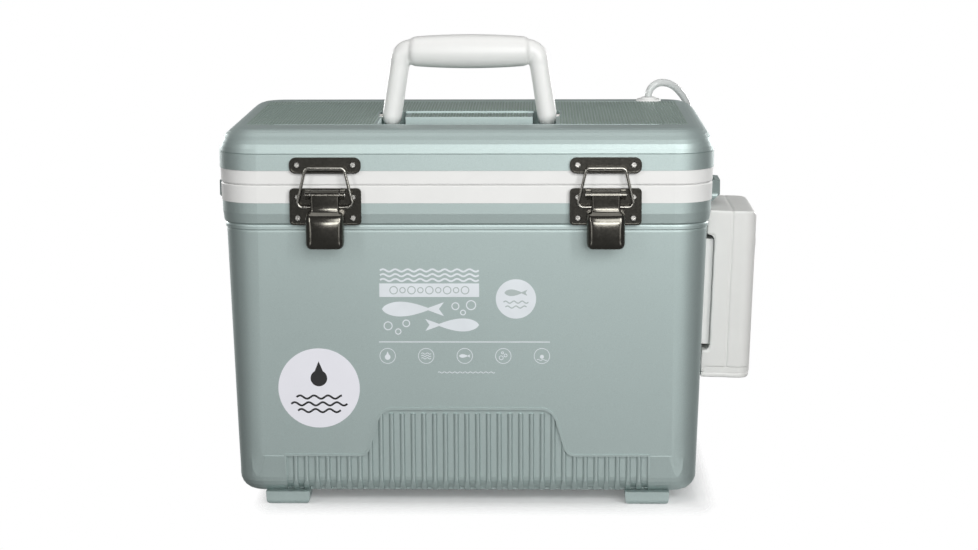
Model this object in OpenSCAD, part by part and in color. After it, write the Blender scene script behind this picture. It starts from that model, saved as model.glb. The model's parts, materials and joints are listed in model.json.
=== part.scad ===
// Hard-sided live bait bucket with a clip-on air pump.
// Millimetres, +Z up, resting on its four feet. The latches face -Y and the pump is on the +X side.
// Sizes are drawn from the middle of the tub, then moved so that the origin is
// under the middle of the whole.

/* [Body] */
// Length over the lid, left to right
body_l = 366; // [352:1:384]
// Depth over the lid, front to back
body_w = 246; // [238:1:262]
// Height from the ground to the top of the lid
body_h = 284; // [276:1:296]
// Plan radius of the lid's corners
corner_r = 30; // [28:0.5:33]
// Height of the feet
foot_h = 8.8; // [8:0.1:12]
// Length of each foot
foot_l = 33; // [28:1:40]
// How far the foot of the wall is drawn in from the lid's edge
wall_in_low = 10.8; // [9:0.1:12]
// How far the top of the wall is drawn in from the lid's edge
wall_in_top = 4.3; // [3.9:0.1:4.8]
// Radius round the bottom edge of the tub
base_r = 12; // [9:0.5:13]
// Wall of the outer shell
shell_t = 4; // [3.6:0.1:4.5]
// Height of the white rim under the lid
flange_h = 13.2; // [12:0.1:15]

/* [Well] */
// Distance from the lid's edge to the well's mouth
well_margin = 26; // [24.5:0.5:29]
// Plan radius of the well's corners at the mouth
well_r = 24; // [20:0.5:28]
// Height of the well's floor above the ground
well_floor = 26; // [22:0.5:34]
// How far the well's walls lean in by the floor
well_in = 7; // [5:0.5:9]
// Wall of the white liners
liner_t = 2.5; // [2:0.1:3]

/* [Lid] */
// Height of the lid over the rim
lid_h = 40.8; // [39:0.2:44]
// Height of the white band round the lid's foot
band_h = 10.9; // [10:0.1:12]
// Radius round the lid's top edge
lid_r = 17.3; // [15:0.1:18]
// Skin of the lid
lid_t = 3.5; // [3:0.1:4]
// How deep the lid's plug reaches into the well
plug_h = 11; // [8:0.5:14]
// Gap round the plug
plug_gap = 3; // [2.5:0.1:4]
// Depth of the finger pocket in the lid
pocket_d = 19.5; // [18.9:0.1:20.5]
// Gap between the closed lid and the rim
seat_gap = 0.3; // [0.2:0.05:0.5]

/* [Rib panel] */
// Distance from rib to rib
rib_pitch = 8.05; // [7.4:0.05:9]
// Width of a rib
rib_w = 3.8; // [3.2:0.1:4.4]
// Depth of the grooves between the ribs
panel_d = 2; // [1.9:0.05:2.2]
// Half the length of the panel
panel_half = 135.5; // [125:0.5:140]
// Height of the panel's outer parts
panel_low_z = 37.3; // [34:0.1:44]
// Height of the panel's middle
panel_top_z = 73.3; // [66:0.1:84]
// Half the length of the panel's middle, along its top edge
panel_top_half = 63.5; // [56:0.5:70]
// How far the sides of the middle spread towards their foot
panel_spread = 10.9; // [6:0.1:14]
// Width of the rolled lip along the panel's edge
lip_w = 1.7; // [1.2:0.1:2.2]

/* [Handle] */
// Radius of the handle's legs
leg_r = 7.65; // [7:0.05:7.8]
// Half the distance between the two pivots
pivot_half = 60.4; // [58:0.1:62]
// Height of the pivots under the lid's top
pivot_drop = 3; // [2.8:0.1:3.5]
// How far the legs lean in by their tops
leg_lean = 6.6; // [4:0.1:8]
// Height of the grip's axis over the pivots
grip_rise = 50.7; // [47:0.1:54]
// Radius of the grip at its middle
grip_r = 13.2; // [12:0.1:14]
// Radius of the grip at its ends
grip_end_r = 11.2; // [10:0.1:11.8]

/* [Latches] */
// Half the distance between the latches
latch_x = 102.5; // [96:0.5:108]
// Length of the keeper and base plates
plate_l = 52.5; // [50:0.5:56]
// Thickness of the plates
plate_t = 1.5; // [1.2:0.1:1.8]
// Radius of the bail's wire
wire_r = 1.1; // [1:0.05:1.2]
// Width of the lever's body
lever_w = 28.2; // [26:0.1:29]
// Width of the lever's neck
neck_w = 21; // [19:0.1:21.4]
// Sheet of the lever
lever_t = 1.2; // [1:0.1:1.4]

/* [Pump] */
// Width of the pump, front to back
pump_w = 90; // [84:1:100]
// Height of the pump
pump_h = 130; // [126:1:140]
// Thickness of the pump
pump_t = 38; // [36:0.5:41]
// Wall of the pump's shells
pump_wall = 2.5; // [2.2:0.1:2.8]
// Gap between the pump and the tub's wall
pump_gap = 4; // [3.5:0.1:4.6]
// Travel of the power button
button_travel = 1.5; // [1:0.1:1.7]

/* [Hidden] */
$fn = 48;
eps = 0.01;

// colours
shell_col = [0.69, 0.74, 0.71];
white_col = [0.94, 0.94, 0.93];
foam_col = [0.93, 0.9, 0.78];
steel_col = [0.32, 0.31, 0.29];
bright_col = [0.75, 0.75, 0.74];
rubber_col = [0.25, 0.26, 0.25];
pump_col = [0.87, 0.87, 0.86];
brass_col = [0.78, 0.66, 0.38];
board_col = [0.15, 0.4, 0.24];
tube_col = [0.8, 0.83, 0.82];

// heights and the well's mouth
well_l = body_l - 2 * well_margin;
well_w = body_w - 2 * well_margin;
rim_z = body_h - lid_h;
flange_z = rim_z - flange_h;
wall_top_z = flange_z - 22;
bend_z = foot_h + base_r;
band_z = rim_z + band_h;
lid_line_z = body_h - lid_r;
wall_draft = atan((wall_in_low - wall_in_top) / (wall_top_z - bend_z));
panel_lean = atan(panel_spread / (panel_top_z - panel_low_z));

// collar over the wall, as [in from the lid's edge, under the rim's foot]
collar = [
    [wall_in_top, 22], [4.4, 20.5], [3.4, 19.8], [3.4, 17.7], [3.8, 16.5], [2.4, 15], [1.5, 8], [1.3, 0]
];

// middle of each foot and its width across the tub
foot_x = panel_half - 0.5;
foot_y = body_w / 2 - wall_in_low - base_r;
foot_w = 24;

// how far the wall stands in from the lid's edge at a height
function wall_in(z) = wall_in_low - (z - bend_z) * tan(wall_draft);

// pump frame: x away from the wall, y to the back, z up from the pump's top
pump_top_z = flange_z - 16;
pump_split = 23.3;
pump_x0 = pump_gap;
pump_x1 = pump_gap + pump_t;
wall_x = body_l / 2 - wall_in(pump_top_z);
cap_h = 4;
split_gap = 0.05;
case_screw_y = pump_w / 2 - 6;
case_screw_z = [-8, -pump_h + 12];
boss_r = 4;
recess_d = 6;
recess_z0 = -19;
recess_z1 = -pump_h + 21;
bracket_w = 78;
button_r = 8;
button_y = -16;
button_z = -27;
port_x = pump_split + 5;
port_z = 32 - pump_h;
cell_r = 9;
cell_l = 65;
cell_x = pump_x1 - pump_wall - cell_r - 2.6;
cell_y = [-24, -4.5];
tray_z = 10 - pump_h;
motor_r = 12;
motor_x = pump_x0 + recess_d + pump_wall + motor_r + 0.5;
motor_y = 22;
motor_z = tray_z + 8;
motor_l = 30;
shaft_r = 1;
block_z = motor_z + motor_l + 12.5;
block_h = 44;
nozzle_z = block_z + block_h - 6.5;

// strap lugs
lug_l = 44;
lug_h = 17.5;
lug_out = 11.6;
lug_root = 0.5;
lug_x = body_l / 2 - lug_root;
lug_screw_y = 18.5;
lug_screw_z = flange_z - 8;

// hinges
hinge_x = 105;
leaf_l = 50;
leaf_t = 1.6;
knuckle_r = 3;
hinge_pin_r = 1.4;
hinge_z = rim_z + 5.5;
leaf_y = body_w / 2 + 0.5;
hinge_y = leaf_y + 3.2;
leaf_low_z = flange_z - 8;
leaf_top_z = band_z + 11;

// latches, from the lever's pivot: u is away from the tub and v is up
latch_z = rim_z - 6.2;
latch_y = body_w / 2 + 6.1;
pivot_pin_r = 1.5;
ear_r = 3.2;
ear_in = 11;
ear_out = 14.5;
bail_drop = 9;
bar_rise = rim_z + 13.3 - latch_z;
bail_foot = 20;
bail_top = 15;
bail_corner = 3.5;
lever_low = 39;
lever_out = 11.5;
neck_len = 12.5;
keeper_z = rim_z + 15;
keeper_face = latch_y - body_w / 2 - 0.6;

// lid pocket and handle
pivot_z = body_h - pivot_drop;
pocket_half = 67;
pocket_front = -84;
pocket_back = -18.4;
pocket_floor = body_h - pocket_d;
slot_in = 49;
slot_out = 70;
slot_back = 13;
slot_floor = pivot_z - leg_r - 0.9;
island_drop = 1.5;
handle_pin_r = 2;
elbow_r = 9.3;
elbow_x = pivot_half - leg_lean - elbow_r;
elbow_z = pivot_z + 43;
grip_half = elbow_x + 2;

// tube, grommet and stone
tube_r = 3;
grommet_x = body_l / 2 - 40;
grommet_y = body_w / 2 - 29;
grommet_h = 3;
passage_dx = 15;
passage_dy = 14;
nozzle_x = 16;
nozzle_l = 12;
stone_x = 0;
stone_y = -10;
stone_r = 8;
stone_l = 40;

// middle of the whole, from the middle of the tub
x_high = wall_x + pump_x1 * cos(wall_draft);
x_low = -lug_x - lug_out;
y_high = hinge_y + knuckle_r;
y_low = -latch_y - lever_out;
frame_dx = -(x_high + x_low) / 2;
frame_dy = -(y_high + y_low) / 2;

// the tube's routes, from the middle of the tub: first from the grommet's top, last from the nozzle's tip
nozzle_tip = [
    wall_x + nozzle_x * cos(wall_draft) + nozzle_z * sin(wall_draft),
    pump_w / 2 + nozzle_l,
    pump_top_z - nozzle_x * sin(wall_draft) + nozzle_z * cos(wall_draft)
];
outer_route = concat(
    [for (d = [
        [0, 0, 3.1], [0.3, 0, 6.5], [2.9, 0.4, 11], [7.5, 1.9, 13.9], [12.7, 4.5, 14.2], [17.7, 7.6, 12.8],
        [22.2, 10.9, 9.9], [26.4, 14.4, 5.6], [29.8, 18, 1.2], [31.8, 20.7, -2.4], [32.9, 22.7, -7],
        [33.3, 24.1, -13], [33.6, 24.9, -22], [34.3, 24.9, -33], [35.4, 24.3, -45]
    ]) [grommet_x, grommet_y, body_h] + d],
    [for (d = [
        [-13.2, 58.8, 44.8], [-10.8, 55, 33.2], [-7.8, 49, 22.4], [-4.9, 41.4, 13.2], [-2.4, 32.4, 6.2],
        [-0.7, 23, 2], [0, 13.5, 0.3], [0, 6, 0], [0, 0.3, 0]
    ]) nozzle_tip + d]);
inner_route = [
    [141.5, 92.6, 279.5], [140.3, 91.5, 275.3], [137.5, 88.9, 265], [133.6, 85.2, 251], [130.8, 82.6, 241],
    [128.5, 80.4, 231], [127, 79, 219], [126.5, 78.5, 205], [126, 78, 190], [125.5, 77.5, 175],
    [125, 77.5, 160], [124.5, 77, 145], [124, 77, 130], [123.5, 76.5, 115], [123, 76.5, 100],
    [122.5, 76, 85], [122, 76, 70], [121, 76, 56], [118.5, 75.5, 44], [112.5, 75, 35.5], [103.5, 74, 31],
    [92, 73, 29.6], [78, 71.5, 29.4], [64, 69.5, 29.4], [50, 66, 29.4], [37, 60.5, 29.4], [25, 52.5, 29.5],
    [15, 42.5, 30], [7.5, 31, 31], [2.5, 19, 33], [0, 6, 34.3], [0, -4, 34.3], [0, -10, 34.3]
];

// ---------- shared forms ----------

function arc(cx, cy, r, from, to, steps) =
    [for (i = [0:steps]) let (a = from + (to - from) * i / steps) [cx + r * cos(a), cy + r * sin(a)]];

// moves a piece from the tub's frame to the part's frame
module placed() {
    translate([frame_dx, frame_dy, 0]) children();
}

// the same piece on the left and on the right
module both() {
    children();
    mirror([1, 0, 0]) children();
}

// sweeps a profile round a rectangle with round corners; x is measured from the corners' axes
module ring(l, w, r) {
    for (k = [0:3]) {
        reach = (k % 2 == 0 ? l : w) / 2 - r;
        run = (k % 2 == 0 ? w : l) - 2 * r;
        rotate([0, 0, 90 * k]) {
            translate([reach, 0, 0]) rotate([90, 0, 0]) linear_extrude(run, center = true) children();
            translate([reach, run / 2, 0]) rotate_extrude(angle = 90) children();
        }
    }
}

// a solid with that outline: the profile's first and last points lie on the corners' axes
module filled(l, w, r, profile) {
    z0 = profile[0][1];
    z1 = profile[len(profile) - 1][1];
    ring(l, w, r) polygon(profile);
    translate([0, 0, z0]) linear_extrude(z1 - z0) square([l - 2 * r, w - 2 * r], center = true);
}

// a flat plate standing in X and Z with round corners, from y = 0 towards -Y
module plate(l, h, t, r) {
    rotate([90, 0, 0]) linear_extrude(t) rounded(l, h, r);
}

module rounded(l, h, r) {
    polygon(concat(
        arc(l / 2 - r, h / 2 - r, r, 0, 90, 6), arc(r - l / 2, h / 2 - r, r, 90, 180, 6),
        arc(r - l / 2, r - h / 2, r, 180, 270, 6), arc(l / 2 - r, r - h / 2, r, 270, 360, 6)));
}

// a drawing in u and v, drawn out across the latch
module across(w) {
    rotate([90, 0, -90]) linear_extrude(w, center = true) children();
}

// a rod between two points
module rod(a, b, r) {
    d = b - a;
    translate(a) rotate([0, acos(d[2] / norm(d)), atan2(d[1], d[0])]) cylinder(r = r, h = norm(d));
}

// a pan-head screw with a cross slot, its head towards -Y and its seat at y = 0
module screw(r, head_r, head_h, l) {
    difference() {
        rotate([90, 0, 0]) cylinder(r1 = head_r, r2 = head_r * 0.75, h = head_h);
        for (a = [0, 90]) {
            rotate([0, a, 0]) translate([0, -head_h, 0])
                cube([head_r * 1.1, head_h, head_r * 0.28], center = true);
        }
    }
    rotate([-90, 0, 0]) cylinder(r = r, h = l);
}

// a smooth way through a list of points, with that many steps from each to the next
function smooth(p, steps) = let (n = len(p) - 1) concat(
    [for (i = [0:n - 1]) for (k = [0:steps - 1])
        let (t = k / steps, a = p[max(i - 1, 0)], b = p[i], c = p[i + 1], d = p[min(i + 2, n)])
        b + (c - a) * t / 2 + (a - 2.5 * b + 2 * c - d / 2) * t * t
            + (1.5 * (b - c) + (d - a) / 2) * t * t * t],
    [p[n]]);

// a tube through a list of points
function tangent(p, i) =
    let (d = p[min(i + 1, len(p) - 1)] - p[max(i - 1, 0)]) d / norm(d);
function side(t) = let (s = cross(t, [1, -1, 0])) s / norm(s);
module sweep(p, r, sides) {
    n = len(p);
    points = [for (i = [0:n - 1]) let (t = tangent(p, i), s = side(t), u = cross(t, s))
        for (k = [0:sides - 1]) p[i] + r * (s * cos(360 * k / sides) + u * sin(360 * k / sides))];
    skin = [for (i = [0:n - 2]) for (k = [0:sides - 1]) let (j = (k + 1) % sides)
        [i * sides + k, (i + 1) * sides + k, (i + 1) * sides + j, i * sides + j]];
    polyhedron(points, concat([[for (k = [0:sides - 1]) k]], skin,
        [[for (k = [sides - 1:-1:0]) (n - 1) * sides + k]]), convexity = 6);
}

// ---------- tub ----------

// the tub's solid form, drawn in by t
module tub_form(t) {
    foot = arc(corner_r - wall_in_low - base_r, bend_z, base_r - t, -90, 0, 6);
    top = t == 0
        ? [for (c = collar) [corner_r - c[0], flange_z - c[1]]]
        : [[corner_r - wall_in_top - t, wall_top_z], [corner_r - wall_in_top - t, flange_z]];
    filled(body_l, body_w, corner_r, concat([[0, foot_h + t]], foot, top, [[0, flange_z]]));
}

// the rib panel's outline, grown by g
module panel_shape(g) {
    low_half = panel_top_half + panel_spread;
    low_r = 8.5;
    top_r = 11.5;
    reach = tan((90 - panel_lean) / 2);
    half = concat(
        [[panel_half + g, panel_low_z + g]],
        arc(low_half + low_r * reach, panel_low_z + low_r, low_r - g, 270, 180 + panel_lean, 5),
        arc(panel_top_half - top_r * reach, panel_top_z - top_r, top_r + g, panel_lean, 90, 6));
    last = len(half) - 1;
    polygon(concat([[panel_half + g, 0]], half, [for (i = [last:-1:0]) [-half[i][0], half[i][1]]],
        [[-panel_half - g, 0]]));
}

// that outline, drawn out towards the front from the bottom edge's axis
module panel_block(g) {
    translate([0, wall_in_low + base_r - body_w / 2, 0])
        rotate([90, 0, 0]) linear_extrude(2 * base_r) panel_shape(g);
}

// the ribs, each round in front and leaning with the wall
module rib_bars() {
    count = floor((panel_half - rib_w / 2) / rib_pitch);
    bar = concat([[rib_w / 2, base_r]], arc(0, 0, rib_w / 2, 0, -180, 6), [[-rib_w / 2, base_r]]);
    translate([0, wall_in_low + panel_d - body_w / 2, bend_z]) rotate([wall_draft, 0, 0])
        for (k = [-count:count]) {
            translate([k * rib_pitch, 0, -2 * base_r]) linear_extrude(panel_top_z) polygon(bar);
        }
}

module foot() {
    for (s = [-1, 1]) {
        translate([foot_x, s * foot_y, 0]) intersection() {
            across_y(foot_l) rounded_foot(foot_l, foot_h + 1);
            rotate([0, 0, 90]) across_y(foot_l) rounded_foot(foot_w, foot_h + 1);
        }
    }
}

module across_y(w) {
    rotate([90, 0, 0]) linear_extrude(w, center = true) children();
}

// a foot's side view: a little narrower and round at the ground
module rounded_foot(l, h) {
    r = 3.4;
    taper = 0.3;
    reach = l / 2 - taper - r;
    polygon(concat(arc(reach, r, r, -90, 0, 6), [[l / 2, h], [-l / 2, h]], arc(-reach, r, r, 180, 270, 6)));
}

module outer_shell() {
    color(shell_col) placed() {
        difference() {
            union() {
                difference() {
                    tub_form(0);
                    panel_block(0);
                }
                intersection() {
                    tub_form(panel_d);
                    cube([body_l, body_w, 2 * (panel_top_z + 20)], center = true);
                }
                intersection() {
                    rib_bars();
                    panel_block(0);
                    tub_form(0);
                }
            }
            tub_form_inside();
            strap_bores();
            both() shell_screw_bores();
        }
        panel_lip();
        both() foot();
    }
}

// the hollow inside the shell
module tub_form_inside() {
    tub_form(shell_t);
    translate([0, 0, flange_z - 1]) linear_extrude(2)
        square([body_l - 2 * corner_r, body_w - 2 * corner_r], center = true);
}

// thin rolled lip along the panel's edge, standing a little proud of the wall
module panel_lip() {
    proud = 0.7;
    top = panel_top_z + lip_w;
    difference() {
        union() {
            intersection() {
                panel_block(lip_w);
                filled(body_l, body_w, corner_r, [
                    [0, bend_z + 2], [corner_r - wall_in(bend_z + 2) + proud, bend_z + 2],
                    [corner_r - wall_in(top) + proud, top], [0, top]]);
                translate([0, 0, panel_low_z + lip_w])
                    cube([body_l, body_w, 2 * (top - panel_low_z)], center = true);
            }
            both() panel_step();
        }
        panel_block(0);
        filled(body_l, body_w, corner_r, [
            [0, bend_z], [corner_r - wall_in(bend_z) - proud, bend_z],
            [corner_r - wall_in(top + 1) - proud, top + 1], [0, top + 1]]);
    }
}

// soft step that carries the lip's line on from the panel's end into the tub's corner
module panel_step() {
    proud = 0.55;
    far = panel_half + 26;
    corner_x = body_l / 2 - corner_r;
    wall_y = body_w / 2 - wall_in(panel_low_z);
    corner_in = body_l / 2 - wall_in(panel_low_z) - corner_x;
    far_y = wall_y - corner_in + sqrt(corner_in * corner_in - (far - corner_x) * (far - corner_x));
    intersection() {
        filled(body_l, body_w, corner_r, [
            [0, bend_z], [corner_r - wall_in(bend_z) + 0.08, bend_z],
            [corner_r - wall_in(panel_low_z) + proud, panel_low_z],
            [corner_r - wall_in(panel_low_z) - 0.1, panel_low_z + 0.9], [0, panel_low_z + 0.9]]);
        linear_extrude(panel_top_z) polygon([
            [panel_half - 1, 2 * base_r - wall_y], [panel_half - 1, -wall_y - 2 * proud],
            [corner_x - 4, -wall_y - 2 * proud], [far, -far_y], [far, 2 * base_r - wall_y]]);
    }
}

module strap_bores() {
    both() lug_screw_places() translate([-shell_t - 3, 0, 0]) rotate([0, 90, 0])
        cylinder(r = 1.35, h = shell_t + 4);
}

// holes in the shell and rim for the latches' and hinges' screws
module shell_screw_bores() {
    latch_places() base_screw_places() rotate([-90, 0, 0]) cylinder(r = 1.35, h = 12);
    leaf_screw_places(0) rotate([90, 0, 0]) cylinder(r = 1.25, h = 10);
}

module body_foam() {
    gap = 0.2;
    top = rim_z - liner_t - gap;
    color(foam_col) placed() difference() {
        union() {
            tub_form(shell_t + gap);
            filled(body_l, body_w, corner_r, [
                [0, flange_z - 1], [corner_r - wall_in_top - shell_t - gap, flange_z - 1],
                [corner_r - wall_in_top - shell_t - gap, top], [0, top]]);
        }
        well_form(liner_t + gap, 5);
    }
}

// the well's solid form, grown by t and carried up by rise over the rim
module well_form(t, rise) {
    foot_r = 12;
    filled(well_l, well_w, well_r, concat([[0, well_floor - t]],
        arc(well_r - well_in - foot_r, well_floor + foot_r, foot_r + t, -90, 0, 5),
        [[well_r + t, rim_z], [well_r + t, rim_z + rise], [0, rim_z + rise]]));
}

module inner_liner() {
    edge = 0.9;
    color(white_col) placed() difference() {
        union() {
            filled(body_l, body_w, corner_r, [
                [0, flange_z], [corner_r - edge, flange_z], [corner_r - edge + 0.4, rim_z - 1],
                [corner_r - edge - 0.6, rim_z], [0, rim_z]]);
            well_form(liner_t, 0);
        }
        difference() {
            filled(body_l, body_w, corner_r, [
                [0, flange_z - 1], [corner_r - wall_in_top - shell_t, flange_z - 1],
                [corner_r - wall_in_top - shell_t, rim_z - liner_t], [0, rim_z - liner_t]]);
            well_form(liner_t, 0);
        }
        well_form(0, 1);
        both() shell_screw_bores();
    }
}

module lug_screw_places() {
    for (s = [-1, 1]) {
        translate([lug_x, s * lug_screw_y, lug_screw_z]) children();
    }
}

module strap_screws() {
    color(bright_col) placed() both() lug_screw_places()
        translate([3.52, 0, 0]) rotate([0, 0, 90]) screw(1.25, 2.5, 1.3, 8.5);
}

// a loop on each end for a shoulder strap
module strap_lugs() {
    slot_l = 26;
    slot_w = 5.5;
    nose = 8;
    outline = [
        [0, -lug_l / 2], [lug_out - nose, -lug_l / 2 + 1], [lug_out, -lug_l / 2 + nose],
        [lug_out, lug_l / 2 - nose], [lug_out - nose, lug_l / 2 - 1], [0, lug_l / 2]];
    skirt = [
        [0, 0], [lug_out - 6, 2], [lug_out + 1, 7], [lug_out + 1, lug_h - 1.5],
        [lug_out - 0.5, lug_h + 1], [0, lug_h + 1]];
    color(shell_col) placed() both() difference() {
        translate([lug_x, 0, flange_z - 14.5]) difference() {
            intersection() {
                linear_extrude(lug_h) polygon(outline);
                across_y(lug_l + 2) polygon(skirt);
            }
            translate([lug_out - slot_w - 4, -slot_l / 2, -1]) cube([slot_w, slot_l, lug_h + 2]);
        }
        lug_screw_places() translate([-1, 0, 0]) rotate([0, 90, 0]) cylinder(r = 1.5, h = 20);
        lug_screw_places() translate([3.5, 0, 0]) rotate([0, 90, 0]) cylinder(r = 2.8, h = 20);
    }
}

// ---------- lid ----------

module lid_form(t, low) {
    out = corner_r + 0.3 - t;
    filled(body_l, body_w, corner_r, concat(
        [[0, low], [out, low], [out, lid_line_z - 0.6], [out - (t == 0 ? 0.6 : 0), lid_line_z - 0.2]],
        arc(corner_r + 0.3 - lid_r, lid_line_z, lid_r - t, 0, 90, 8),
        [[0, body_h - t]]));
}

// the pockets in the lid's top, grown by g
module lid_pockets(g) {
    translate([0, (pocket_front + pocket_back) / 2, pocket_floor - g]) linear_extrude(pocket_d + 1 + g)
        rounded(2 * pocket_half + 2 * g, pocket_back - pocket_front + 2 * g, 6);
    both() translate([slot_in - g, pocket_back - 8, slot_floor - g])
        linear_extrude(body_h - slot_floor + 1 + g)
            polygon(concat([[0, 0], [slot_out - slot_in + 2 * g, 0]],
                arc(slot_out - slot_in + 2 * g - 5, slot_back - pocket_back + 8 + g - 5, 5, 0, 90, 5),
                arc(5, slot_back - pocket_back + 8 + g - 5, 5, 90, 180, 5)));
}

module lid_shell() {
    color(shell_col) placed() difference() {
        lid_form(0, band_z);
        difference() {
            lid_form(lid_t, band_z - 1);
            lid_pockets(lid_t);
        }
        lid_pockets(0);
        translate([0, (pocket_back - 1 + slot_back - 1) / 2, body_h - island_drop]) linear_extrude(2)
            square([2 * slot_in + 2, slot_back - pocket_back], center = true);
        ring(body_l - 70, body_w - 70, 8)
            polygon([[6.5, body_h - 1], [7.5, body_h - 1], [8, body_h + 1], [6, body_h + 1]]);
        both() handle_pin_rod(0.05);
        tube_passage(0.3);
        both() keeper_places() rotate([-90, 0, 0]) cylinder(r = 1.3, h = 10);
        both() leaf_screw_places(1) rotate([90, 0, 0]) cylinder(r = 1.3, h = 8);
    }
}

// the tube's way through the lid, with a seat for the grommet
module tube_passage(g) {
    rod([grommet_x, grommet_y, body_h + 1],
        [grommet_x - passage_dx, grommet_y - passage_dy, rim_z - plug_h - 1], tube_r + 1.2 + g);
    translate([grommet_x, grommet_y, body_h - grommet_h]) cylinder(r = 6.2 + g - 0.3, h = 10);
}

module lid_liner() {
    seat = rim_z + seat_gap;
    edge = 0.5;
    plug = corner_r - edge;
    gap_l = well_l - 2 * plug_gap;
    gap_w = well_w - 2 * plug_gap;
    color(white_col) placed() difference() {
        union() {
            filled(body_l, body_w, corner_r, [
                [0, seat], [plug - 0.6, seat], [plug, seat + 1], [plug + 0.3, band_z], [0, band_z]]);
            filled(gap_l, gap_w, well_r, [
                [0, rim_z - plug_h], [well_r - 3, rim_z - plug_h], [well_r - 0.8, rim_z - plug_h + 2.5],
                [well_r, seat + 1], [0, seat + 1]]);
        }
        filled(body_l, body_w, corner_r, [
            [0, seat + 5], [corner_r - lid_t, seat + 5], [corner_r - lid_t, band_z + 1], [0, band_z + 1]]);
        filled(gap_l, gap_w, well_r, [
            [0, rim_z - plug_h + liner_t], [well_r - 3.5, rim_z - plug_h + liner_t],
            [well_r - 3.5, seat + 6], [0, seat + 6]]);
        gasket_ring(0.15, 3);
        tube_passage(0.3);
    }
}

// the gasket's section, drawn round the mouth of the well
module gasket_ring(g, h) {
    mid = well_r + 8;
    low = rim_z + seat_gap - 0.15;
    ring(well_l + 16, well_w + 16, mid)
        polygon([
            [mid - 3 - g, low], [mid + 3 + g, low], [mid + 2 + g, low + h + g], [mid - 2 - g, low + h + g]]);
}

module lid_gasket() {
    color(rubber_col) placed() gasket_ring(0, 2.8);
}

module lid_foam() {
    gap = 0.2;
    seat = rim_z + seat_gap;
    low = rim_z - plug_h + liner_t + gap;
    color(foam_col) placed() difference() {
        union() {
            lid_form(lid_t + gap + 0.3, seat + 5 + gap);
            filled(well_l - 2 * plug_gap, well_w - 2 * plug_gap, well_r, [
                [0, low], [well_r - 3.5 - gap, low], [well_r - 3.5 - gap, seat + 6], [0, seat + 6]]);
        }
        lid_pockets(lid_t + gap);
        both() handle_pin_rod(gap);
        tube_passage(0.5);
        both() keeper_places() rotate([-90, 0, 0]) cylinder(r = 1.8, h = 12);
        both() leaf_screw_places(1) rotate([90, 0, 0]) cylinder(r = 1.8, h = 12);
    }
}

// ---------- hinges ----------

// one knuckle of the hinges, from x0 to x1
module knuckle(x0, x1) {
    translate([x0, hinge_y, hinge_z]) rotate([0, 90, 0]) cylinder(r = knuckle_r, h = x1 - x0);
}

module leaf_plate(x0, x1, z0, z1) {
    translate([x0, leaf_y, z0]) cube([x1 - x0, leaf_t, z1 - z0]);
}

module leaf_screw_places(up) {
    for (s = [-1, 1]) {
        translate([hinge_x + s * 17, leaf_y + leaf_t, up == 1 ? leaf_top_z - 5.5 : leaf_low_z + 6])
            children();
    }
}

// a hinge's bore for its pin, and its screw holes
module hinge_bores(up) {
    translate([hinge_x - leaf_l, hinge_y, hinge_z]) rotate([0, 90, 0])
        cylinder(r = hinge_pin_r + 0.06, h = 2 * leaf_l);
    leaf_screw_places(up) translate([0, -leaf_t - 1, 0]) rotate([-90, 0, 0])
        cylinder(r = 1.6, h = leaf_t + 2);
}

module hinge_tub_leaves() {
    third = leaf_l / 3;
    color(bright_col) placed() both() difference() {
        union() {
            leaf_plate(hinge_x - leaf_l / 2, hinge_x + leaf_l / 2, leaf_low_z, hinge_z - knuckle_r - 0.4);
            for (s = [-1, 1]) {
                edge = s == -1 ? hinge_x - leaf_l / 2 : hinge_x + third / 2 + 0.2;
                leaf_plate(edge, edge + third - 0.2, hinge_z - knuckle_r - 1, hinge_z);
                knuckle(edge, edge + third - 0.2);
            }
        }
        hinge_bores(0);
    }
}

module hinge_lid_leaves() {
    third = leaf_l / 3;
    color(bright_col) placed() both() difference() {
        union() {
            leaf_plate(hinge_x - leaf_l / 2, hinge_x + leaf_l / 2, hinge_z + knuckle_r + 0.4, leaf_top_z);
            leaf_plate(hinge_x - third / 2 + 0.2, hinge_x + third / 2 - 0.2, hinge_z,
                hinge_z + knuckle_r + 1);
            knuckle(hinge_x - third / 2 + 0.2, hinge_x + third / 2 - 0.2);
        }
        hinge_bores(1);
    }
}

module hinge_pins() {
    color(bright_col) placed() both()
        translate([hinge_x - leaf_l / 2 - 0.6, hinge_y, hinge_z]) rotate([0, 90, 0])
            cylinder(r = hinge_pin_r, h = leaf_l + 1.2);
}

module hinge_screws() {
    color(bright_col) placed() both() {
        leaf_screw_places(0) rotate([0, 0, 180]) screw(1.2, 2.8, 1.3, 6);
    }
}

module lid_hinge_screws() {
    color(bright_col) placed() both() {
        leaf_screw_places(1) rotate([0, 0, 180]) screw(1.2, 2.8, 1.3, 6);
    }
}

// ---------- latches ----------

module latch_places() {
    translate([latch_x, -latch_y, latch_z]) children();
}

module keeper_places() {
    for (s = [-1, 1]) {
        translate([latch_x + s * 20.5, -latch_y + keeper_face - 0.2, keeper_z + 0.5]) children();
    }
}

module base_screw_places() {
    for (s = [-1, 1]) {
        for (z = [-2, -17.4]) {
            translate([s * 20.3, 0, z]) children();
        }
    }
}

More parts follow.
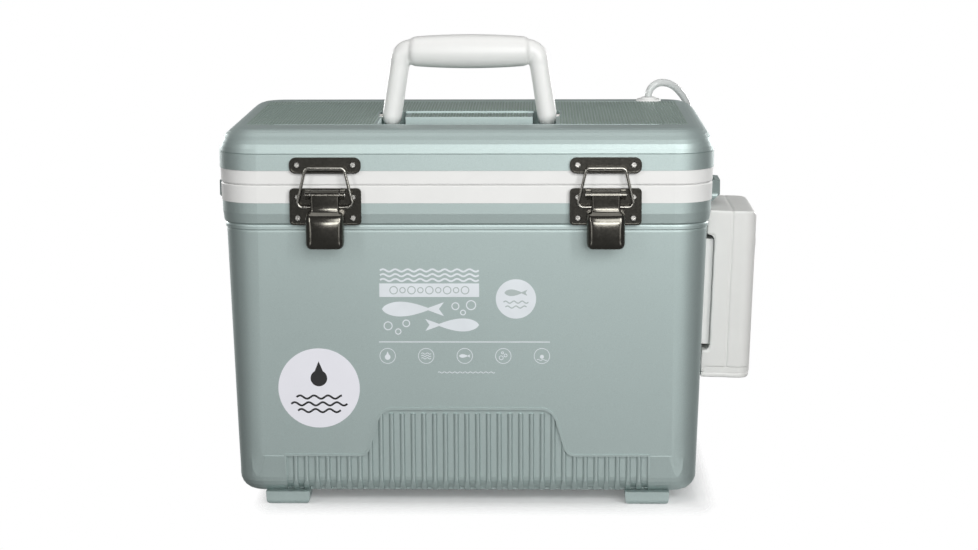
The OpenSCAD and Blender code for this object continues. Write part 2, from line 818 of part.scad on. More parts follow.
module latch_bases() {
    back = latch_y - body_w / 2 - 0.6;
    high = 27.2;
    mid = 4.5 - high / 2;
    color(steel_col) placed() both() latch_places() difference() {
        union() {
            translate([0, back, mid]) plate(plate_l, high, plate_t, 3);
            translate([0, back - plate_t, mid]) difference() {
                plate(plate_l, high, 0.6, 3);
                translate([0, 1, 0]) plate(plate_l - 2.4, high - 2.4, 3, 2);
            }
            for (s = [-1, 1]) {
                x = s == 1 ? ear_in : -ear_out;
                translate([x, 0, 0]) rotate([0, 90, 0]) cylinder(r = ear_r, h = ear_out - ear_in);
                translate([x, 0, -ear_r]) cube([ear_out - ear_in, back - plate_t / 2, 2 * ear_r]);
            }
        }
        translate([-plate_l / 2, 0, 0]) rotate([0, 90, 0]) cylinder(r = pivot_pin_r + 0.02, h = plate_l);
        base_screw_places() translate([0, back + 1, 0]) rotate([90, 0, 0])
            cylinder(r = 1.5, h = plate_t + 2);
    }
}

module latch_screws() {
    back = latch_y - body_w / 2 - 0.6;
    color(bright_col) placed() both() latch_places() base_screw_places()
        translate([0, back - plate_t - 0.02, 0]) screw(1.3, 2.4, 1.1, plate_t + 0.5);
}

module lever_pins() {
    color(bright_col) placed() both() latch_places()
        translate([-ear_out - 0.3, 0, 0]) rotate([0, 90, 0])
            cylinder(r = pivot_pin_r, h = 2 * ear_out + 0.6);
}

module latch_keepers() {
    high = 12;
    color(steel_col) placed() both() {
        difference() {
            translate([latch_x, -latch_y, keeper_z]) {
                translate([0, keeper_face, 0]) plate(plate_l, high, plate_t, 5);
                translate([0, keeper_face - plate_t, 0]) difference() {
                    plate(plate_l, high, 0.6, 5);
                    translate([0, 1, 0]) plate(plate_l - 2.4, high - 2.4, 3, 3.8);
                }
                hook();
            }
            keeper_places() rotate([90, 0, 0]) translate([0, 0, -2]) cylinder(r = 1.5, h = 8);
        }
    }
}

// the keeper's rolled edge that the bail's bar bears on
module hook() {
    front = wire_r + 0.3;
    roll = 1;
    across(26) polygon(concat([[-keeper_face, -4.6], [-front - roll, -4.6]],
        arc(-front - roll, -4.6 + roll, roll, -90, 90, 6), [[-keeper_face, -4.6 + 2 * roll]]));
}

module keeper_screws() {
    color(bright_col) placed() both() keeper_places()
        translate([0, 0.2 - plate_t - 0.02, 0]) screw(1.2, 2.4, 1.1, plate_t + 5);
}

// the lever's side view, filled from its front sheet to u = back, and drawn in by t
module lever_side(t, back) {
    neck = 3.8 - t;
    body = 6.4 - t;
    polygon(concat(
        [[back, -lever_low + 5]],
        [[body - 1, -lever_low + 5 - t], [body + 1.2, -lever_low + 4.6 - t / 2], [body + 2, -neck_len - 12],
        [body + 1, -neck_len - 3], [body, -neck_len - 1], [neck + 0.5, -neck_len + 1.5],
        [neck, -neck_len + 3.5], [neck, 0]],
        arc(0, 0, neck, 15, 165, 9),
        [[-neck, 0], [back, -1]]));
}

module latch_lever() {
    back = -3.4;
    flange = 1.2;
    difference() {
        union() {
            intersection() {
                across(neck_w) lever_side(0, back);
                translate([0, 0, 20 - neck_len + 1]) cube([neck_w, 40, 40], center = true);
            }
            intersection() {
                across(lever_w) lever_side(0, back);
                translate([0, 0, -20 - neck_len + 1]) cube([lever_w, 40, 40], center = true);
            }
            lever_lip();
        }
        intersection() {
            across(neck_w - 2 * flange) lever_side(lever_t, back - 1);
            translate([0, 0, 20 - neck_len]) cube([neck_w, 40, 40.02], center = true);
        }
        intersection() {
            across(lever_w - 2 * flange) lever_side(lever_t, back - 1);
            translate([0, 0, -20 - neck_len - 0.2]) cube([lever_w, 40, 40], center = true);
        }
        translate([-20, 0, 0]) rotate([0, 90, 0]) cylinder(r = pivot_pin_r + 0.08, h = 40);
        translate([-20, 0, -bail_drop]) rotate([0, 90, 0]) cylinder(r = wire_r + 0.1, h = 40);
    }
}

// the finger lip at the lever's foot, bent away from the tub
module lever_lip() {
    tip = lever_out;
    intersection() {
        across(lever_w) polygon([
            [5.4, -lever_low + 5.6], [7.6, -lever_low + 5.6], [tip, -lever_low + 1], [tip, -lever_low],
            [tip - 0.9, -lever_low], [6.2, -lever_low + 4.2]]);
        rotate([90, 0, 0]) translate([0, 0, 5]) linear_extrude(20) polygon([
            [-lever_w / 2, -20], [-lever_w / 2, -lever_low + 4], [-lever_w / 2 + 4, -lever_low - 1],
            [lever_w / 2 - 4, -lever_low - 1], [lever_w / 2, -lever_low + 4], [lever_w / 2, -20]]);
    }
}

module latch_bail() {
    foot = [bail_foot, 0, -bail_drop + bail_corner];
    top = [bail_top, 0, bar_rise - bail_corner];
    both() {
        rod(foot, top, wire_r);
        translate(foot) sphere(wire_r);
        translate([bail_foot - bail_corner, 0, -bail_drop + bail_corner]) rotate([90, 0, 0])
            rotate([0, 0, -90]) rotate_extrude(angle = 90) translate([bail_corner, 0]) circle(wire_r);
        rod([neck_w / 2 - 1.5, 0, -bail_drop], [bail_foot - bail_corner, 0, -bail_drop], wire_r);
        translate(top) sphere(wire_r);
        translate([bail_top - bail_corner, 0, bar_rise - bail_corner]) rotate([90, 0, 0])
            rotate_extrude(angle = 90) translate([bail_corner, 0]) circle(wire_r);
    }
    rod([bail_corner - bail_top, 0, bar_rise], [bail_top - bail_corner, 0, bar_rise], wire_r);
}

module latch_lever_right() {
    color(steel_col) placed() latch_places() latch_lever();
}

module latch_lever_left() {
    color(steel_col) placed() mirror([1, 0, 0]) latch_places() latch_lever();
}

module latch_bail_right() {
    color(steel_col) placed() latch_places() latch_bail();
}

module latch_bail_left() {
    color(steel_col) placed() mirror([1, 0, 0]) latch_places() latch_bail();
}

// ---------- handle ----------

module handle_pin_rod(g) {
    translate([pivot_half - 5, 0, pivot_z]) rotate([0, 90, 0]) cylinder(r = handle_pin_r + g, h = 21 + g);
}

module handle_pins() {
    color(bright_col) placed() both() handle_pin_rod(0);
}

// the grip's outline on one side of its axis, bulging in the middle
module grip_shape() {
    rise = grip_r - grip_end_r;
    big = (grip_half * grip_half + rise * rise) / (2 * rise);
    end = 4;
    half_turn = asin((grip_half - end) / big);
    polygon(concat([[-grip_half, 0]],
        arc(end - grip_half, grip_end_r - end, end, 180, 90, 4),
        arc(0, grip_r - big, big, 90 + half_turn, 90 - half_turn, 16),
        arc(grip_half - end, grip_end_r - end, end, 90, 0, 4), [[grip_half, 0]]));
}

module carry_handle() {
    color(white_col) placed() difference() {
        union() {
            both() {
                translate([pivot_half, 0, pivot_z]) sphere(leg_r + 0.1);
                rod([pivot_half, 0, pivot_z], [elbow_x + elbow_r, 0, elbow_z], leg_r);
                translate([elbow_x, 0, elbow_z]) rotate([90, 0, 0]) rotate_extrude(angle = 90)
                    translate([elbow_r, 0]) circle(leg_r + 0.2);
            }
            translate([0, 0, pivot_z + grip_rise]) rotate([0, 90, 0])
                rotate_extrude() mirror([1, -1]) grip_shape();
        }
        both() handle_pin_rod(0.08);
    }
}

// ---------- pump ----------

module pump_frame() {
    translate([wall_x, 0, pump_top_z]) rotate([0, wall_draft, 0]) children();
}

// the pump's solid form, drawn in by t
module pump_form(t) {
    plan_r = 10;
    top_r = 5;
    low_r = 4;
    y = pump_w / 2 - t;
    x0 = pump_x0 + t;
    x1 = pump_x1 - t;
    intersection() {
        translate([0, 0, -pump_h]) linear_extrude(pump_h + 1) polygon(concat(
            [[x0, -y]], arc(x1 + t - plan_r, -y - t + plan_r, plan_r - t, -90, 0, 6),
            arc(x1 + t - plan_r, y + t - plan_r, plan_r - t, 0, 90, 6), [[x0, y]]));
        across_y(pump_w) polygon(concat(
            [[x0, t - pump_h]], arc(x1 + t - low_r, low_r - pump_h, low_r - t, -90, 0, 4),
            arc(x1 + t - top_r, -top_r, top_r - t, 0, 90, 5), [[x0, -t]]));
    }
}

// the part of the pump between two depths
module pump_slice(x0, x1, z0, z1) {
    translate([x0, -pump_w, z0]) cube([x1 - x0, 2 * pump_w, z1 - z0]);
}

module case_screw_places() {
    for (y = [-case_screw_y, case_screw_y]) {
        for (z = case_screw_z) {
            translate([0, y, z]) children();
        }
    }
}

// the two studs that the pump hangs on
module stud_places() {
    for (z = [recess_z0 - 16, recess_z1 + 16]) {
        translate([0, 0, z]) children();
    }
}

module pump_back_shell() {
    color(pump_col) placed() pump_frame() difference() {
        union() {
            difference() {
                intersection() {
                    pump_form(0);
                    pump_slice(0, pump_split, cap_h - pump_h + split_gap, 5);
                }
                intersection() {
                    pump_form(pump_wall);
                    pump_slice(0, 60, -pump_h - 1, 5);
                }
                pump_slice(pump_x0 + pump_wall, 60, -pump_h - 1, pump_wall + 1.5 - pump_h + cap_h);
            }
            translate([pump_x0, 0, 0]) intersection() {
                translate([0, -pump_w / 2, recess_z1 - pump_wall])
                    cube([recess_d + pump_wall, pump_w, recess_z0 - recess_z1 + 2 * pump_wall]);
                translate([-pump_x0, 0, 0]) pump_form(0);
            }
            case_screw_places() translate([pump_x0, 0, 0]) rotate([0, 90, 0])
                cylinder(r = boss_r, h = pump_split - pump_x0);
        }
        translate([0, -pump_w, recess_z1]) cube([pump_x0 + recess_d, 2 * pump_w, recess_z0 - recess_z1]);
        stud_places() rotate([0, 90, 0]) cylinder(r = 3.3, h = 20);
        case_screw_places() rotate([0, 90, 0]) cylinder(r = 1.6, h = 40);
        case_screw_places() rotate([0, 90, 0]) cylinder(r = 3.2, h = pump_x0 + 3);
        translate([nozzle_x, 0, nozzle_z]) rotate([-90, 0, 0]) cylinder(r = 3.2, h = pump_w);
        seal_ring(0.1);
    }
}

module pump_front_shell() {
    color(pump_col) placed() pump_frame() difference() {
        union() {
            difference() {
                intersection() {
                    pump_form(0);
                    pump_slice(pump_split + split_gap, 60, cap_h - pump_h + split_gap, 5);
                }
                pump_form(pump_wall);
                pump_slice(0, pump_x1 - pump_wall, -pump_h - 1, pump_wall + 1.5 - pump_h + cap_h);
            }
            case_screw_places() translate([pump_split + split_gap, 0, 0]) rotate([0, 90, 0])
                cylinder(r = boss_r, h = 9);
        }
        case_screw_places() rotate([0, 90, 0]) cylinder(r = 1.2, h = pump_split + 8);
        button_place() translate([-20, 0, 0]) rotate([0, 90, 0]) cylinder(r = button_r + 0.3, h = 30);
        led_place() translate([-20, 0, 0]) rotate([0, 90, 0]) cylinder(r = 2.55, h = 30);
        port_place() cube([7.2, 20, 13.2], center = true);
    }
}

module button_place() {
    translate([pump_x1, button_y, button_z]) children();
}

module led_place() {
    translate([pump_x1, button_y + 20, button_z]) children();
}

module port_place() {
    translate([port_x, pump_w / 2 - pump_wall / 2, port_z]) children();
}

module pump_bottom_cap() {
    color(pump_col) placed() pump_frame() {
        intersection() {
            pump_form(0);
            pump_slice(0, 60, -pump_h - 1, cap_h - pump_h);
        }
        intersection() {
            pump_form(pump_wall + 0.3);
            pump_slice(pump_x0 + 6, pump_x1 - 5, -pump_h, cap_h - pump_h + 1.2);
        }
    }
}

// the seal between the two halves of the pump, in a groove in the back half's rim
module seal_ring(g) {
    y = pump_w / 2 - pump_wall / 2;
    h0 = -pump_wall / 2;
    h1 = cap_h + 4.6 - pump_h;
    w = 0.5 + g;
    translate([pump_split - 1 - g, 0, 0]) difference() {
        translate([0, -y - w, h1 - w]) cube([1 + g + (g > 0 ? 1 : 0), 2 * (y + w), h0 - h1 + 2 * w]);
        translate([-1, -y + w, h1 + w]) cube([4, 2 * (y - w), h0 - h1 - 2 * w]);
    }
}

module pump_seal() {
    color(rubber_col) placed() pump_frame() intersection() {
        seal_ring(0);
        pump_slice(0, pump_split, -pump_h, 0);
    }
}

module battery_cells() {
    color(brass_col) placed() pump_frame() {
        for (y = cell_y) {
            translate([cell_x, y, tray_z + 2]) cylinder(r = cell_r, h = cell_l);
            translate([cell_x, y, tray_z + 2 + cell_l]) cylinder(r = 3, h = 1.2);
        }
    }
}

module battery_tray() {
    x0 = cell_x - cell_r - 1.8;
    x1 = cell_x + cell_r + 1.8;
    y0 = cell_y[0] - cell_r - 1.4;
    y1 = cell_y[1] + cell_r + 1.4;
    color(rubber_col) placed() pump_frame() difference() {
        translate([x0, y0, tray_z]) cube([x1 - x0, y1 - y0, cell_l + 5]);
        translate([x0 + 4, y0 - 1, tray_z + 14]) cube([x1 - x0, y1 - y0 + 2, cell_l - 24]);
        for (y = cell_y) {
            translate([cell_x, y, tray_z + 2]) cylinder(r = cell_r + 0.2, h = cell_l + 1.4);
        }
    }
}

// the motor, with a foot that reaches the front shell
module pump_motor() {
    color(bright_col) placed() pump_frame() translate([motor_x, motor_y, motor_z]) difference() {
        union() {
            cylinder(r = motor_r, h = motor_l);
            translate([0, 0, motor_l]) cylinder(r = 4, h = 2);
            translate([0, 0, -8]) cylinder(r = 5, h = 8);
            translate([0, -motor_r, 4]) cube([pump_x1 - pump_wall - motor_x - 0.2, 2 * motor_r, 22]);
        }
        translate([0, 0, 6]) cylinder(r = shaft_r + 0.05, h = motor_l);
    }
}

// shaft, eccentric and its pin
module pump_crank() {
    color(bright_col) placed() pump_frame() translate([motor_x, motor_y, motor_z]) {
        translate([0, 0, 6.3]) cylinder(r = shaft_r, h = motor_l + 2);
        translate([0, 0, motor_l + 2.4]) cylinder(r = 6, h = 4);
        translate([3, 0, motor_l + 5]) cylinder(r = 1.5, h = 5);
    }
}

// valve block with its rubber bell underneath
module air_block() {
    color(rubber_col) placed() pump_frame() difference() {
        union() {
            translate([pump_x0 + recess_d + pump_wall + 0.2, motor_y - 14, block_z])
                cube([22, 28, block_h]);
            translate([motor_x, motor_y, block_z - 2]) cylinder(r = 9, h = 3);
            translate([nozzle_x, motor_y + 13, nozzle_z]) rotate([-90, 0, 0]) cylinder(r = 3.2, h = 6);
        }
        translate([nozzle_x, motor_y, nozzle_z]) rotate([-90, 0, 0]) cylinder(r = 2.1, h = 20);
    }
}

module circuit_board() {
    stand_off = 5.9;
    board_t = 1.6;
    board_w = 40;
    y = button_y - 18;
    x = pump_x1 - pump_wall - stand_off - board_t;
    top = -6;
    low = tray_z + cell_l + 9;
    color(board_col) placed() pump_frame() {
        translate([x, y, low]) cube([board_t, board_w, top - low]);
        translate([x + board_t - eps, button_y - 3, button_z - 3]) cube([1.6, 6, 6]);
        translate([x - 6, y + 2, low + 4]) cube([6.01, 10, 6]);
        for (side_y = [y + 3, y + board_w - 2]) {
            translate([x + board_t - eps, side_y, top - 6]) rotate([0, 90, 0])
                cylinder(r = 2, h = stand_off - 0.2);
        }
    }
}

// a button with a collar behind the shell and a stem that stops short of its switch
module power_button() {
    stem = pump_wall - button_travel - 0.4;
    color(rubber_col) placed() pump_frame() button_place() rotate([0, 90, 0]) {
        translate([0, 0, -3.1]) cylinder(r = button_r, h = 4.3);
        translate([0, 0, -4.3]) cylinder(r = button_r + 2, h = 1.5);
        translate([0, 0, -4.3 + eps - stem]) cylinder(r = 2, h = stem);
    }
}

module led_lens() {
    color("limegreen") placed() pump_frame() led_place() rotate([0, 90, 0]) {
        translate([0, 0, -pump_wall - 1]) cylinder(r = 2.5, h = pump_wall + 1.2);
        translate([0, 0, -pump_wall - 1.2]) cylinder(r = 3.6, h = 1);
    }
}

module port_plug() {
    color(rubber_col) placed() pump_frame() port_place() {
        cube([7, pump_wall + 0.4, 13], center = true);
        translate([0, pump_wall / 2 + 0.65, 0]) cube([9, 1, 15], center = true);
    }
}

module air_nozzle() {
    color(pump_col) placed() pump_frame()
            translate([nozzle_x, pump_w / 2, nozzle_z]) rotate([-90, 0, 0]) difference() {
        union() {
            translate([0, 0, -10]) cylinder(r = 2, h = 11);
            translate([0, 0, -3.5]) cylinder(r = 3.1, h = 3.6);
            cylinder(r = 5, h = 1.5);
            cylinder(r = 3.4, h = nozzle_l - 4);
            translate([0, 0, nozzle_l - 4]) cylinder(r1 = 3.6, r2 = 2.9, h = 4);
        }
        translate([0, 0, -11]) cylinder(r = 1.1, h = nozzle_l + 12);
    }
}

module case_screws() {
    color(bright_col) placed() pump_frame() case_screw_places()
        translate([pump_x0 + 2.98, 0, 0]) rotate([0, 0, -90]) screw(1.15, 2.6, 1.4, 22);
}

module pump_bracket() {
    z0 = recess_z1 + 4;
    z1 = recess_z0 - 4;
    color(white_col) placed() pump_frame() difference() {
        union() {
            translate([0.3, -bracket_w / 2, z0]) cube([pump_x0 + recess_d - 0.6, bracket_w, z1 - z0]);
            stud_places() {
                rotate([0, 90, 0]) cylinder(r = 3, h = pump_x0 + recess_d + pump_wall + 0.3);
                translate([pump_x0 + recess_d + pump_wall + 0.3, 0, 0]) rotate([0, 90, 0])
                    cylinder(r = 5.5, h = 2);
            }
        }
        bracket_screw_places() rotate([0, 90, 0]) cylinder(r = 1.9, h = 40);
        bracket_screw_places() translate([3, 0, 0]) rotate([0, 90, 0]) cylinder(r = 4, h = 40);
        translate([-5, -pump_w, -pump_h]) cube([5.3, 2 * pump_w, pump_h]);
    }
}

module bracket_screw_places() {
    for (y = [-28, 28]) {
        for (z = [recess_z0 - 14, recess_z1 + 14]) {
            translate([0, y, z]) children();
        }
    }
}

module bracket_screws() {
    color(bright_col) placed() pump_frame() bracket_screw_places()
        translate([3.02, 0, 0]) rotate([0, 0, 90]) screw(1.6, 3.6, 1.8, 2.6);
}

module pump_bumper() {
    color([0.6, 0.58, 0.5]) placed() pump_frame()
        translate([pump_x0 + 0.3, 0, -pump_h - 4]) across_y(26) polygon(concat(
            arc(2, 2, 2, 180, 270, 4), arc(5, 2, 2, 270, 360, 4), [[7, 3.98], [0, 3.98]]));
}

// ---------- air line ----------

module tube_grommet() {
    color(white_col) placed() translate([grommet_x, grommet_y, 0]) difference() {
        union() {
            translate([0, 0, body_h - grommet_h + 0.02]) cylinder(r = 5.9, h = grommet_h + 0.1);
            translate([0, 0, body_h + 0.05]) cylinder(r1 = 10.25, r2 = 9.2, h = 1.6);
            translate([0, 0, body_h + 1.5]) cylinder(r1 = 7, r2 = 5.5, h = 1.5);
        }
        translate([0, 0, body_h - grommet_h - 1]) cylinder(r = tube_r - 0.9, h = 10);
    }
}

module air_tube_outer() {
    color(tube_col) placed() sweep(smooth(outer_route, 2), tube_r, 10);
}

module air_tube_inner() {
    color(tube_col) placed() sweep(smooth(inner_route, 2), tube_r, 10);
}

module air_stone() {
    color([0.45, 0.55, 0.6]) placed()
            translate([stone_x, stone_y, well_floor + stone_r + 0.3]) rotate([90, 0, 0]) {
        translate([0, 0, 4]) cylinder(r = stone_r, h = stone_l);
        cylinder(r = 3.6, h = 4 + eps);
    }
}

outer_shell();
body_foam();
inner_liner();
strap_lugs();
strap_screws();
latch_bases();
latch_screws();
lever_pins();
hinge_tub_leaves();
hinge_pins();
hinge_screws();
pump_bracket();
bracket_screws();
pump_back_shell();
pump_front_shell();
pump_bottom_cap();
pump_seal();
battery_cells();
battery_tray();
pump_motor();
pump_crank();
air_block();
circuit_board();
power_button();
led_lens();
port_plug();
air_nozzle();
case_screws();
pump_bumper();
air_tube_outer();
lid_shell();
lid_foam();
lid_liner();
lid_gasket();
latch_keepers();
keeper_screws();
hinge_lid_leaves();
lid_hinge_screws();
tube_grommet();
handle_pins();
carry_handle();
latch_lever_left();
latch_lever_right();
latch_bail_left();
latch_bail_right();
air_tube_inner();
air_stone();
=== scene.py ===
import json
import math

import bmesh
import bpy
from mathutils import Matrix, Vector


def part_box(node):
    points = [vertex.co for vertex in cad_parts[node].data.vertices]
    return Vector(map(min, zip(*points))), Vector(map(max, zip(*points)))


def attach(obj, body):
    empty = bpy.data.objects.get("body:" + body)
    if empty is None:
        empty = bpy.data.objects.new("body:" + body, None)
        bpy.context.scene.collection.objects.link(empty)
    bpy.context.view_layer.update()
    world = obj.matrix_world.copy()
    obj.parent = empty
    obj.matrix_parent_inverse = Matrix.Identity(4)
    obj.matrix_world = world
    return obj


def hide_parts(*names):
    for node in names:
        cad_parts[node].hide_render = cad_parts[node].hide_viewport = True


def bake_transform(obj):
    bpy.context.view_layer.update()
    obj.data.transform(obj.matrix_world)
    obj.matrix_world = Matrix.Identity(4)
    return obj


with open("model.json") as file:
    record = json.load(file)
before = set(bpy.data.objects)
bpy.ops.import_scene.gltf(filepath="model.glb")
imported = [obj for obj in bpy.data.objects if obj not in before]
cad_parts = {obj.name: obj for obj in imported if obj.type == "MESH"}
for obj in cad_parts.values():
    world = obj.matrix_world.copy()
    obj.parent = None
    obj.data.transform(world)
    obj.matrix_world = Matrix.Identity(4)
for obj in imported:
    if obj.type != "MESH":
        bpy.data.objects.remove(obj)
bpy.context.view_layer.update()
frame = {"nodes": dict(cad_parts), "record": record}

# ---------- sizes, in mm from the middle of the tub unless it says otherwise ----------

LID_LO, LID_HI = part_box("lid_shell")
DX = (LID_LO.x + LID_HI.x) * 500
DY = (LID_LO.y + LID_HI.y) * 500
LID_TOP = LID_HI.z * 1000
BODY_W = 246
# how far the front wall stands back from BODY_W, at its bend and at its top
WALL_IN_LOW, WALL_IN_HIGH = 10.8, 4.3
WALL_BEND_Z, WALL_TOP_Z = 20.8, 208
WALL_SLOPE = (WALL_IN_LOW - WALL_IN_HIGH) / (WALL_TOP_Z - WALL_BEND_Z)


def at(x, y, z):
    """A point of the tub's frame, in the part's frame and metres."""
    return Vector(((x + DX) / 1000, (y + DY) / 1000, z / 1000))


# ---------- camera, fitted to the outline of the lid and tub in the photo ----------

IMAGE_W = 978
SENSOR_W = 36
FOCAL_PX = 2445.757
CAMERA_AT = (51.730, -1895.438, 479.150)
PITCH, YAW, ROLL = 0.168884, 0.0195603, -0.0031016

bpy.context.scene.view_settings.view_transform = "Standard"


def make_camera():
    look = Vector((-math.sin(YAW) * math.cos(PITCH), math.cos(YAW) * math.cos(PITCH), -math.sin(PITCH)))
    right = Vector((math.cos(YAW), math.sin(YAW), 0))
    up = right.cross(look)
    level_right = right * math.cos(ROLL) + up * math.sin(ROLL)
    level_up = up * math.cos(ROLL) - right * math.sin(ROLL)
    data = bpy.data.cameras.new("camera")
    data.sensor_width = SENSOR_W
    data.lens = FOCAL_PX * SENSOR_W / IMAGE_W
    data.clip_start = 0.05
    data.clip_end = 60
    camera = bpy.data.objects.new("camera", data)
    bpy.context.scene.collection.objects.link(camera)
    turn = Matrix((level_right, level_up, -look)).transposed()
    camera.matrix_world = Matrix.Translation(at(*CAMERA_AT)) @ turn.to_4x4()
    bpy.context.scene.camera = camera


make_camera()

# ---------- mesh helpers ----------


def mesh_object(name, verts, faces, smooth=False, metres=False):
    mesh = bpy.data.meshes.new(name)
    mesh.from_pydata([tuple(v) if metres else tuple(at(*v)) for v in verts], [], faces)
    mesh.validate()
    bm = bmesh.new()
    bm.from_mesh(mesh)
    bmesh.ops.recalc_face_normals(bm, faces=bm.faces)
    bm.to_mesh(mesh)
    bm.free()
    for polygon in mesh.polygons:
        polygon.use_smooth = smooth
    made = bpy.data.objects.new(name, mesh)
    bpy.context.scene.collection.objects.link(made)
    return made


def spline(a, b, c, d, t):
    """What lies at t between b and c, for numbers or vectors."""
    return 0.5 * (2 * b + (c - a) * t + (2 * a - 5 * b + 4 * c - d) * t * t
                  + (3 * b - a - 3 * c + d) * t ** 3)


def catmull(points, steps):
    """A smooth line through the points."""
    p = [Vector(q) for q in points]
    p = [p[0] * 2 - p[1]] + p + [p[-1] * 2 - p[-2]]
    line = []
    for a, b, c, d in zip(p, p[1:], p[2:], p[3:]):
        line += [spline(a, b, c, d, k / steps) for k in range(steps)]
    line.append(p[-2])
    return line


def tube_mesh(name, line, radius, bore, sides):
    """A hollow tube along a line of points in metres."""
    side = None
    frames = []
    for i, p in enumerate(line):
        ahead = (line[min(i + 1, len(line) - 1)] - line[max(i - 1, 0)]).normalized()
        if side is None:
            side = ahead.cross(Vector((0, 1, 0)) if abs(ahead.y) < 0.9 else Vector((1, 0, 0)))
        side = (side - ahead * side.dot(ahead)).normalized()
        frames.append((p, side, ahead.cross(side)))
    verts, faces = [], []
    for r in (radius, bore):
        for p, s, u in frames:
            for k in range(sides):
                a = 2 * math.pi * k / sides
                verts.append(p + (s * math.cos(a) + u * math.sin(a)) * r)
    count = len(line) * sides
    for i in range(len(line) - 1):
        for k in range(sides):
            j = (k + 1) % sides
            a, b, c, d = i * sides + k, i * sides + j, (i + 1) * sides + j, (i + 1) * sides + k
            faces.append((a, b, c, d))
            faces.append((count + d, count + c, count + b, count + a))
    for base in (0, (len(line) - 1) * sides):
        for k in range(sides):
            j = (k + 1) % sides
            faces.append((base + k, base + j, count + base + j, count + base + k))
    return mesh_object(name, verts, faces, smooth=True, metres=True)


# ---------- air line, along the routes of the part's source ----------

OUTER_ROUTE = [
    (143, 94, 287.1), (143.3, 94, 290.5), (145.9, 94.4, 295), (150.5, 95.9, 297.9), (155.7, 98.5, 298.2),
    (160.7, 101.6, 296.8), (165.2, 104.9, 293.9), (169.4, 108.4, 289.6), (172.8, 112, 285.2),
    (174.8, 114.7, 281.6), (175.9, 116.7, 277), (176.3, 118.1, 271), (176.6, 118.9, 262), (177.3, 118.9, 251),
    (178.4, 118.3, 239), (180.6, 115.8, 226.3), (183, 112, 214.7), (186, 106, 203.9), (188.9, 98.4, 194.7),
    (191.4, 89.4, 187.7), (193.1, 80, 183.5), (193.8, 70.5, 181.8), (193.8, 63, 181.5), (193.8, 57.3, 181.5)]
INNER_ROUTE = [
    (141.5, 92.6, 279.5), (140.3, 91.5, 275.3), (137.5, 88.9, 265), (133.6, 85.2, 251), (130.8, 82.6, 241),
    (128.5, 80.4, 231), (127, 79, 219), (126.5, 78.5, 205), (126, 78, 190), (125.5, 77.5, 175),
    (125, 77.5, 160), (124.5, 77, 145), (124, 77, 130), (123.5, 76.5, 115), (123, 76.5, 100),
    (122.5, 76, 85), (122, 76, 70), (121, 76, 56), (118.5, 75.5, 44), (112.5, 75, 35.5), (103.5, 74, 31),
    (92, 73, 29.6), (78, 71.5, 29.4), (64, 69.5, 29.4), (50, 66, 29.4), (37, 60.5, 29.4), (25, 52.5, 29.5),
    (15, 42.5, 30), (7.5, 31, 31), (2.5, 19, 33), (0, 6, 34.3), (0, -4, 34.3), (0, -10, 34.3)]
TUBE_D = 6
TUBE_SIDES = 20
ROUTE_STEPS = 5


def make_air_line(name, node, route):
    """A stretch of the air line: a hollow tube along its route, in place of its CAD node, which is hidden."""
    line = catmull([at(*p) for p in route], ROUTE_STEPS)
    tube = tube_mesh(name, line, TUBE_D / 2000, TUBE_D / 3000, TUBE_SIDES)
    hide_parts(node)
    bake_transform(tube)
    return tube


outer_tube = make_air_line("air_line_outer", "air_tube_outer", OUTER_ROUTE)
inner_tube = make_air_line("air_line_inner", "air_tube_inner", INNER_ROUTE)

# ---------- materials ----------


def new_material(name):
    made = bpy.data.materials.new(name)
    made.use_nodes = True
    return made, made.node_tree, made.node_tree.nodes["Principled BSDF"]


def noise(tree, scale, detail=2.0, rough=0.5, stretch=None):
    coords = tree.nodes.new("ShaderNodeTexCoord")
    out = tree.nodes.new("ShaderNodeTexNoise")
    out.inputs["Scale"].default_value = scale
    out.inputs["Detail"].default_value = detail
    out.inputs["Roughness"].default_value = rough
    if stretch:
        mapping = tree.nodes.new("ShaderNodeMapping")
        mapping.inputs["Scale"].default_value = stretch
        tree.links.new(coords.outputs["Object"], mapping.inputs["Vector"])
        tree.links.new(mapping.outputs["Vector"], out.inputs["Vector"])
    else:
        tree.links.new(coords.outputs["Object"], out.inputs["Vector"])
    return out.outputs["Fac"]


def ramp(tree, source, low, high, colors):
    """Two colours, or two grey levels, between two values of the source."""
    out = tree.nodes.new("ShaderNodeValToRGB")
    tree.links.new(source, out.inputs["Fac"])
    for element, place, color in zip(out.color_ramp.elements, (low, high), colors):
        element.position = place
        element.color = (*color, 1) if hasattr(color, "__len__") else (color, color, color, 1)
    return out.outputs["Color"]


def bump(tree, shader, source, depth, strength=1.0):
    out = tree.nodes.new("ShaderNodeBump")
    out.inputs["Strength"].default_value = strength
    out.inputs["Distance"].default_value = depth
    tree.links.new(source, out.inputs["Height"])
    tree.links.new(out.outputs["Normal"], shader.inputs["Normal"])


def plastic(name, color, rough, grain=900, grain_depth=0.00001, tone=0.03, coat=0.0):
    """Moulded plastic: a faint mottle, a fine moulded grain and slightly uneven gloss."""
    made, tree, shader = new_material(name)
    light = [min(1, c * (1 + tone)) for c in color]
    dark = [c * (1 - tone) for c in color]
    tree.links.new(ramp(tree, noise(tree, 55, 4), 0.35, 0.65, (dark, light)), shader.inputs["Base Color"])
    tree.links.new(ramp(tree, noise(tree, 240, 3), 0.3, 0.7, (rough * 0.92, min(1, rough * 1.08))),
                   shader.inputs["Roughness"])
    bump(tree, shader, noise(tree, grain, 3), grain_depth)
    shader.inputs["Metallic"].default_value = 0.0
    shader.inputs["Specular IOR Level"].default_value = 0.5
    if coat:
        shader.inputs["Coat Weight"].default_value = coat
        shader.inputs["Coat Roughness"].default_value = 0.25
    return made


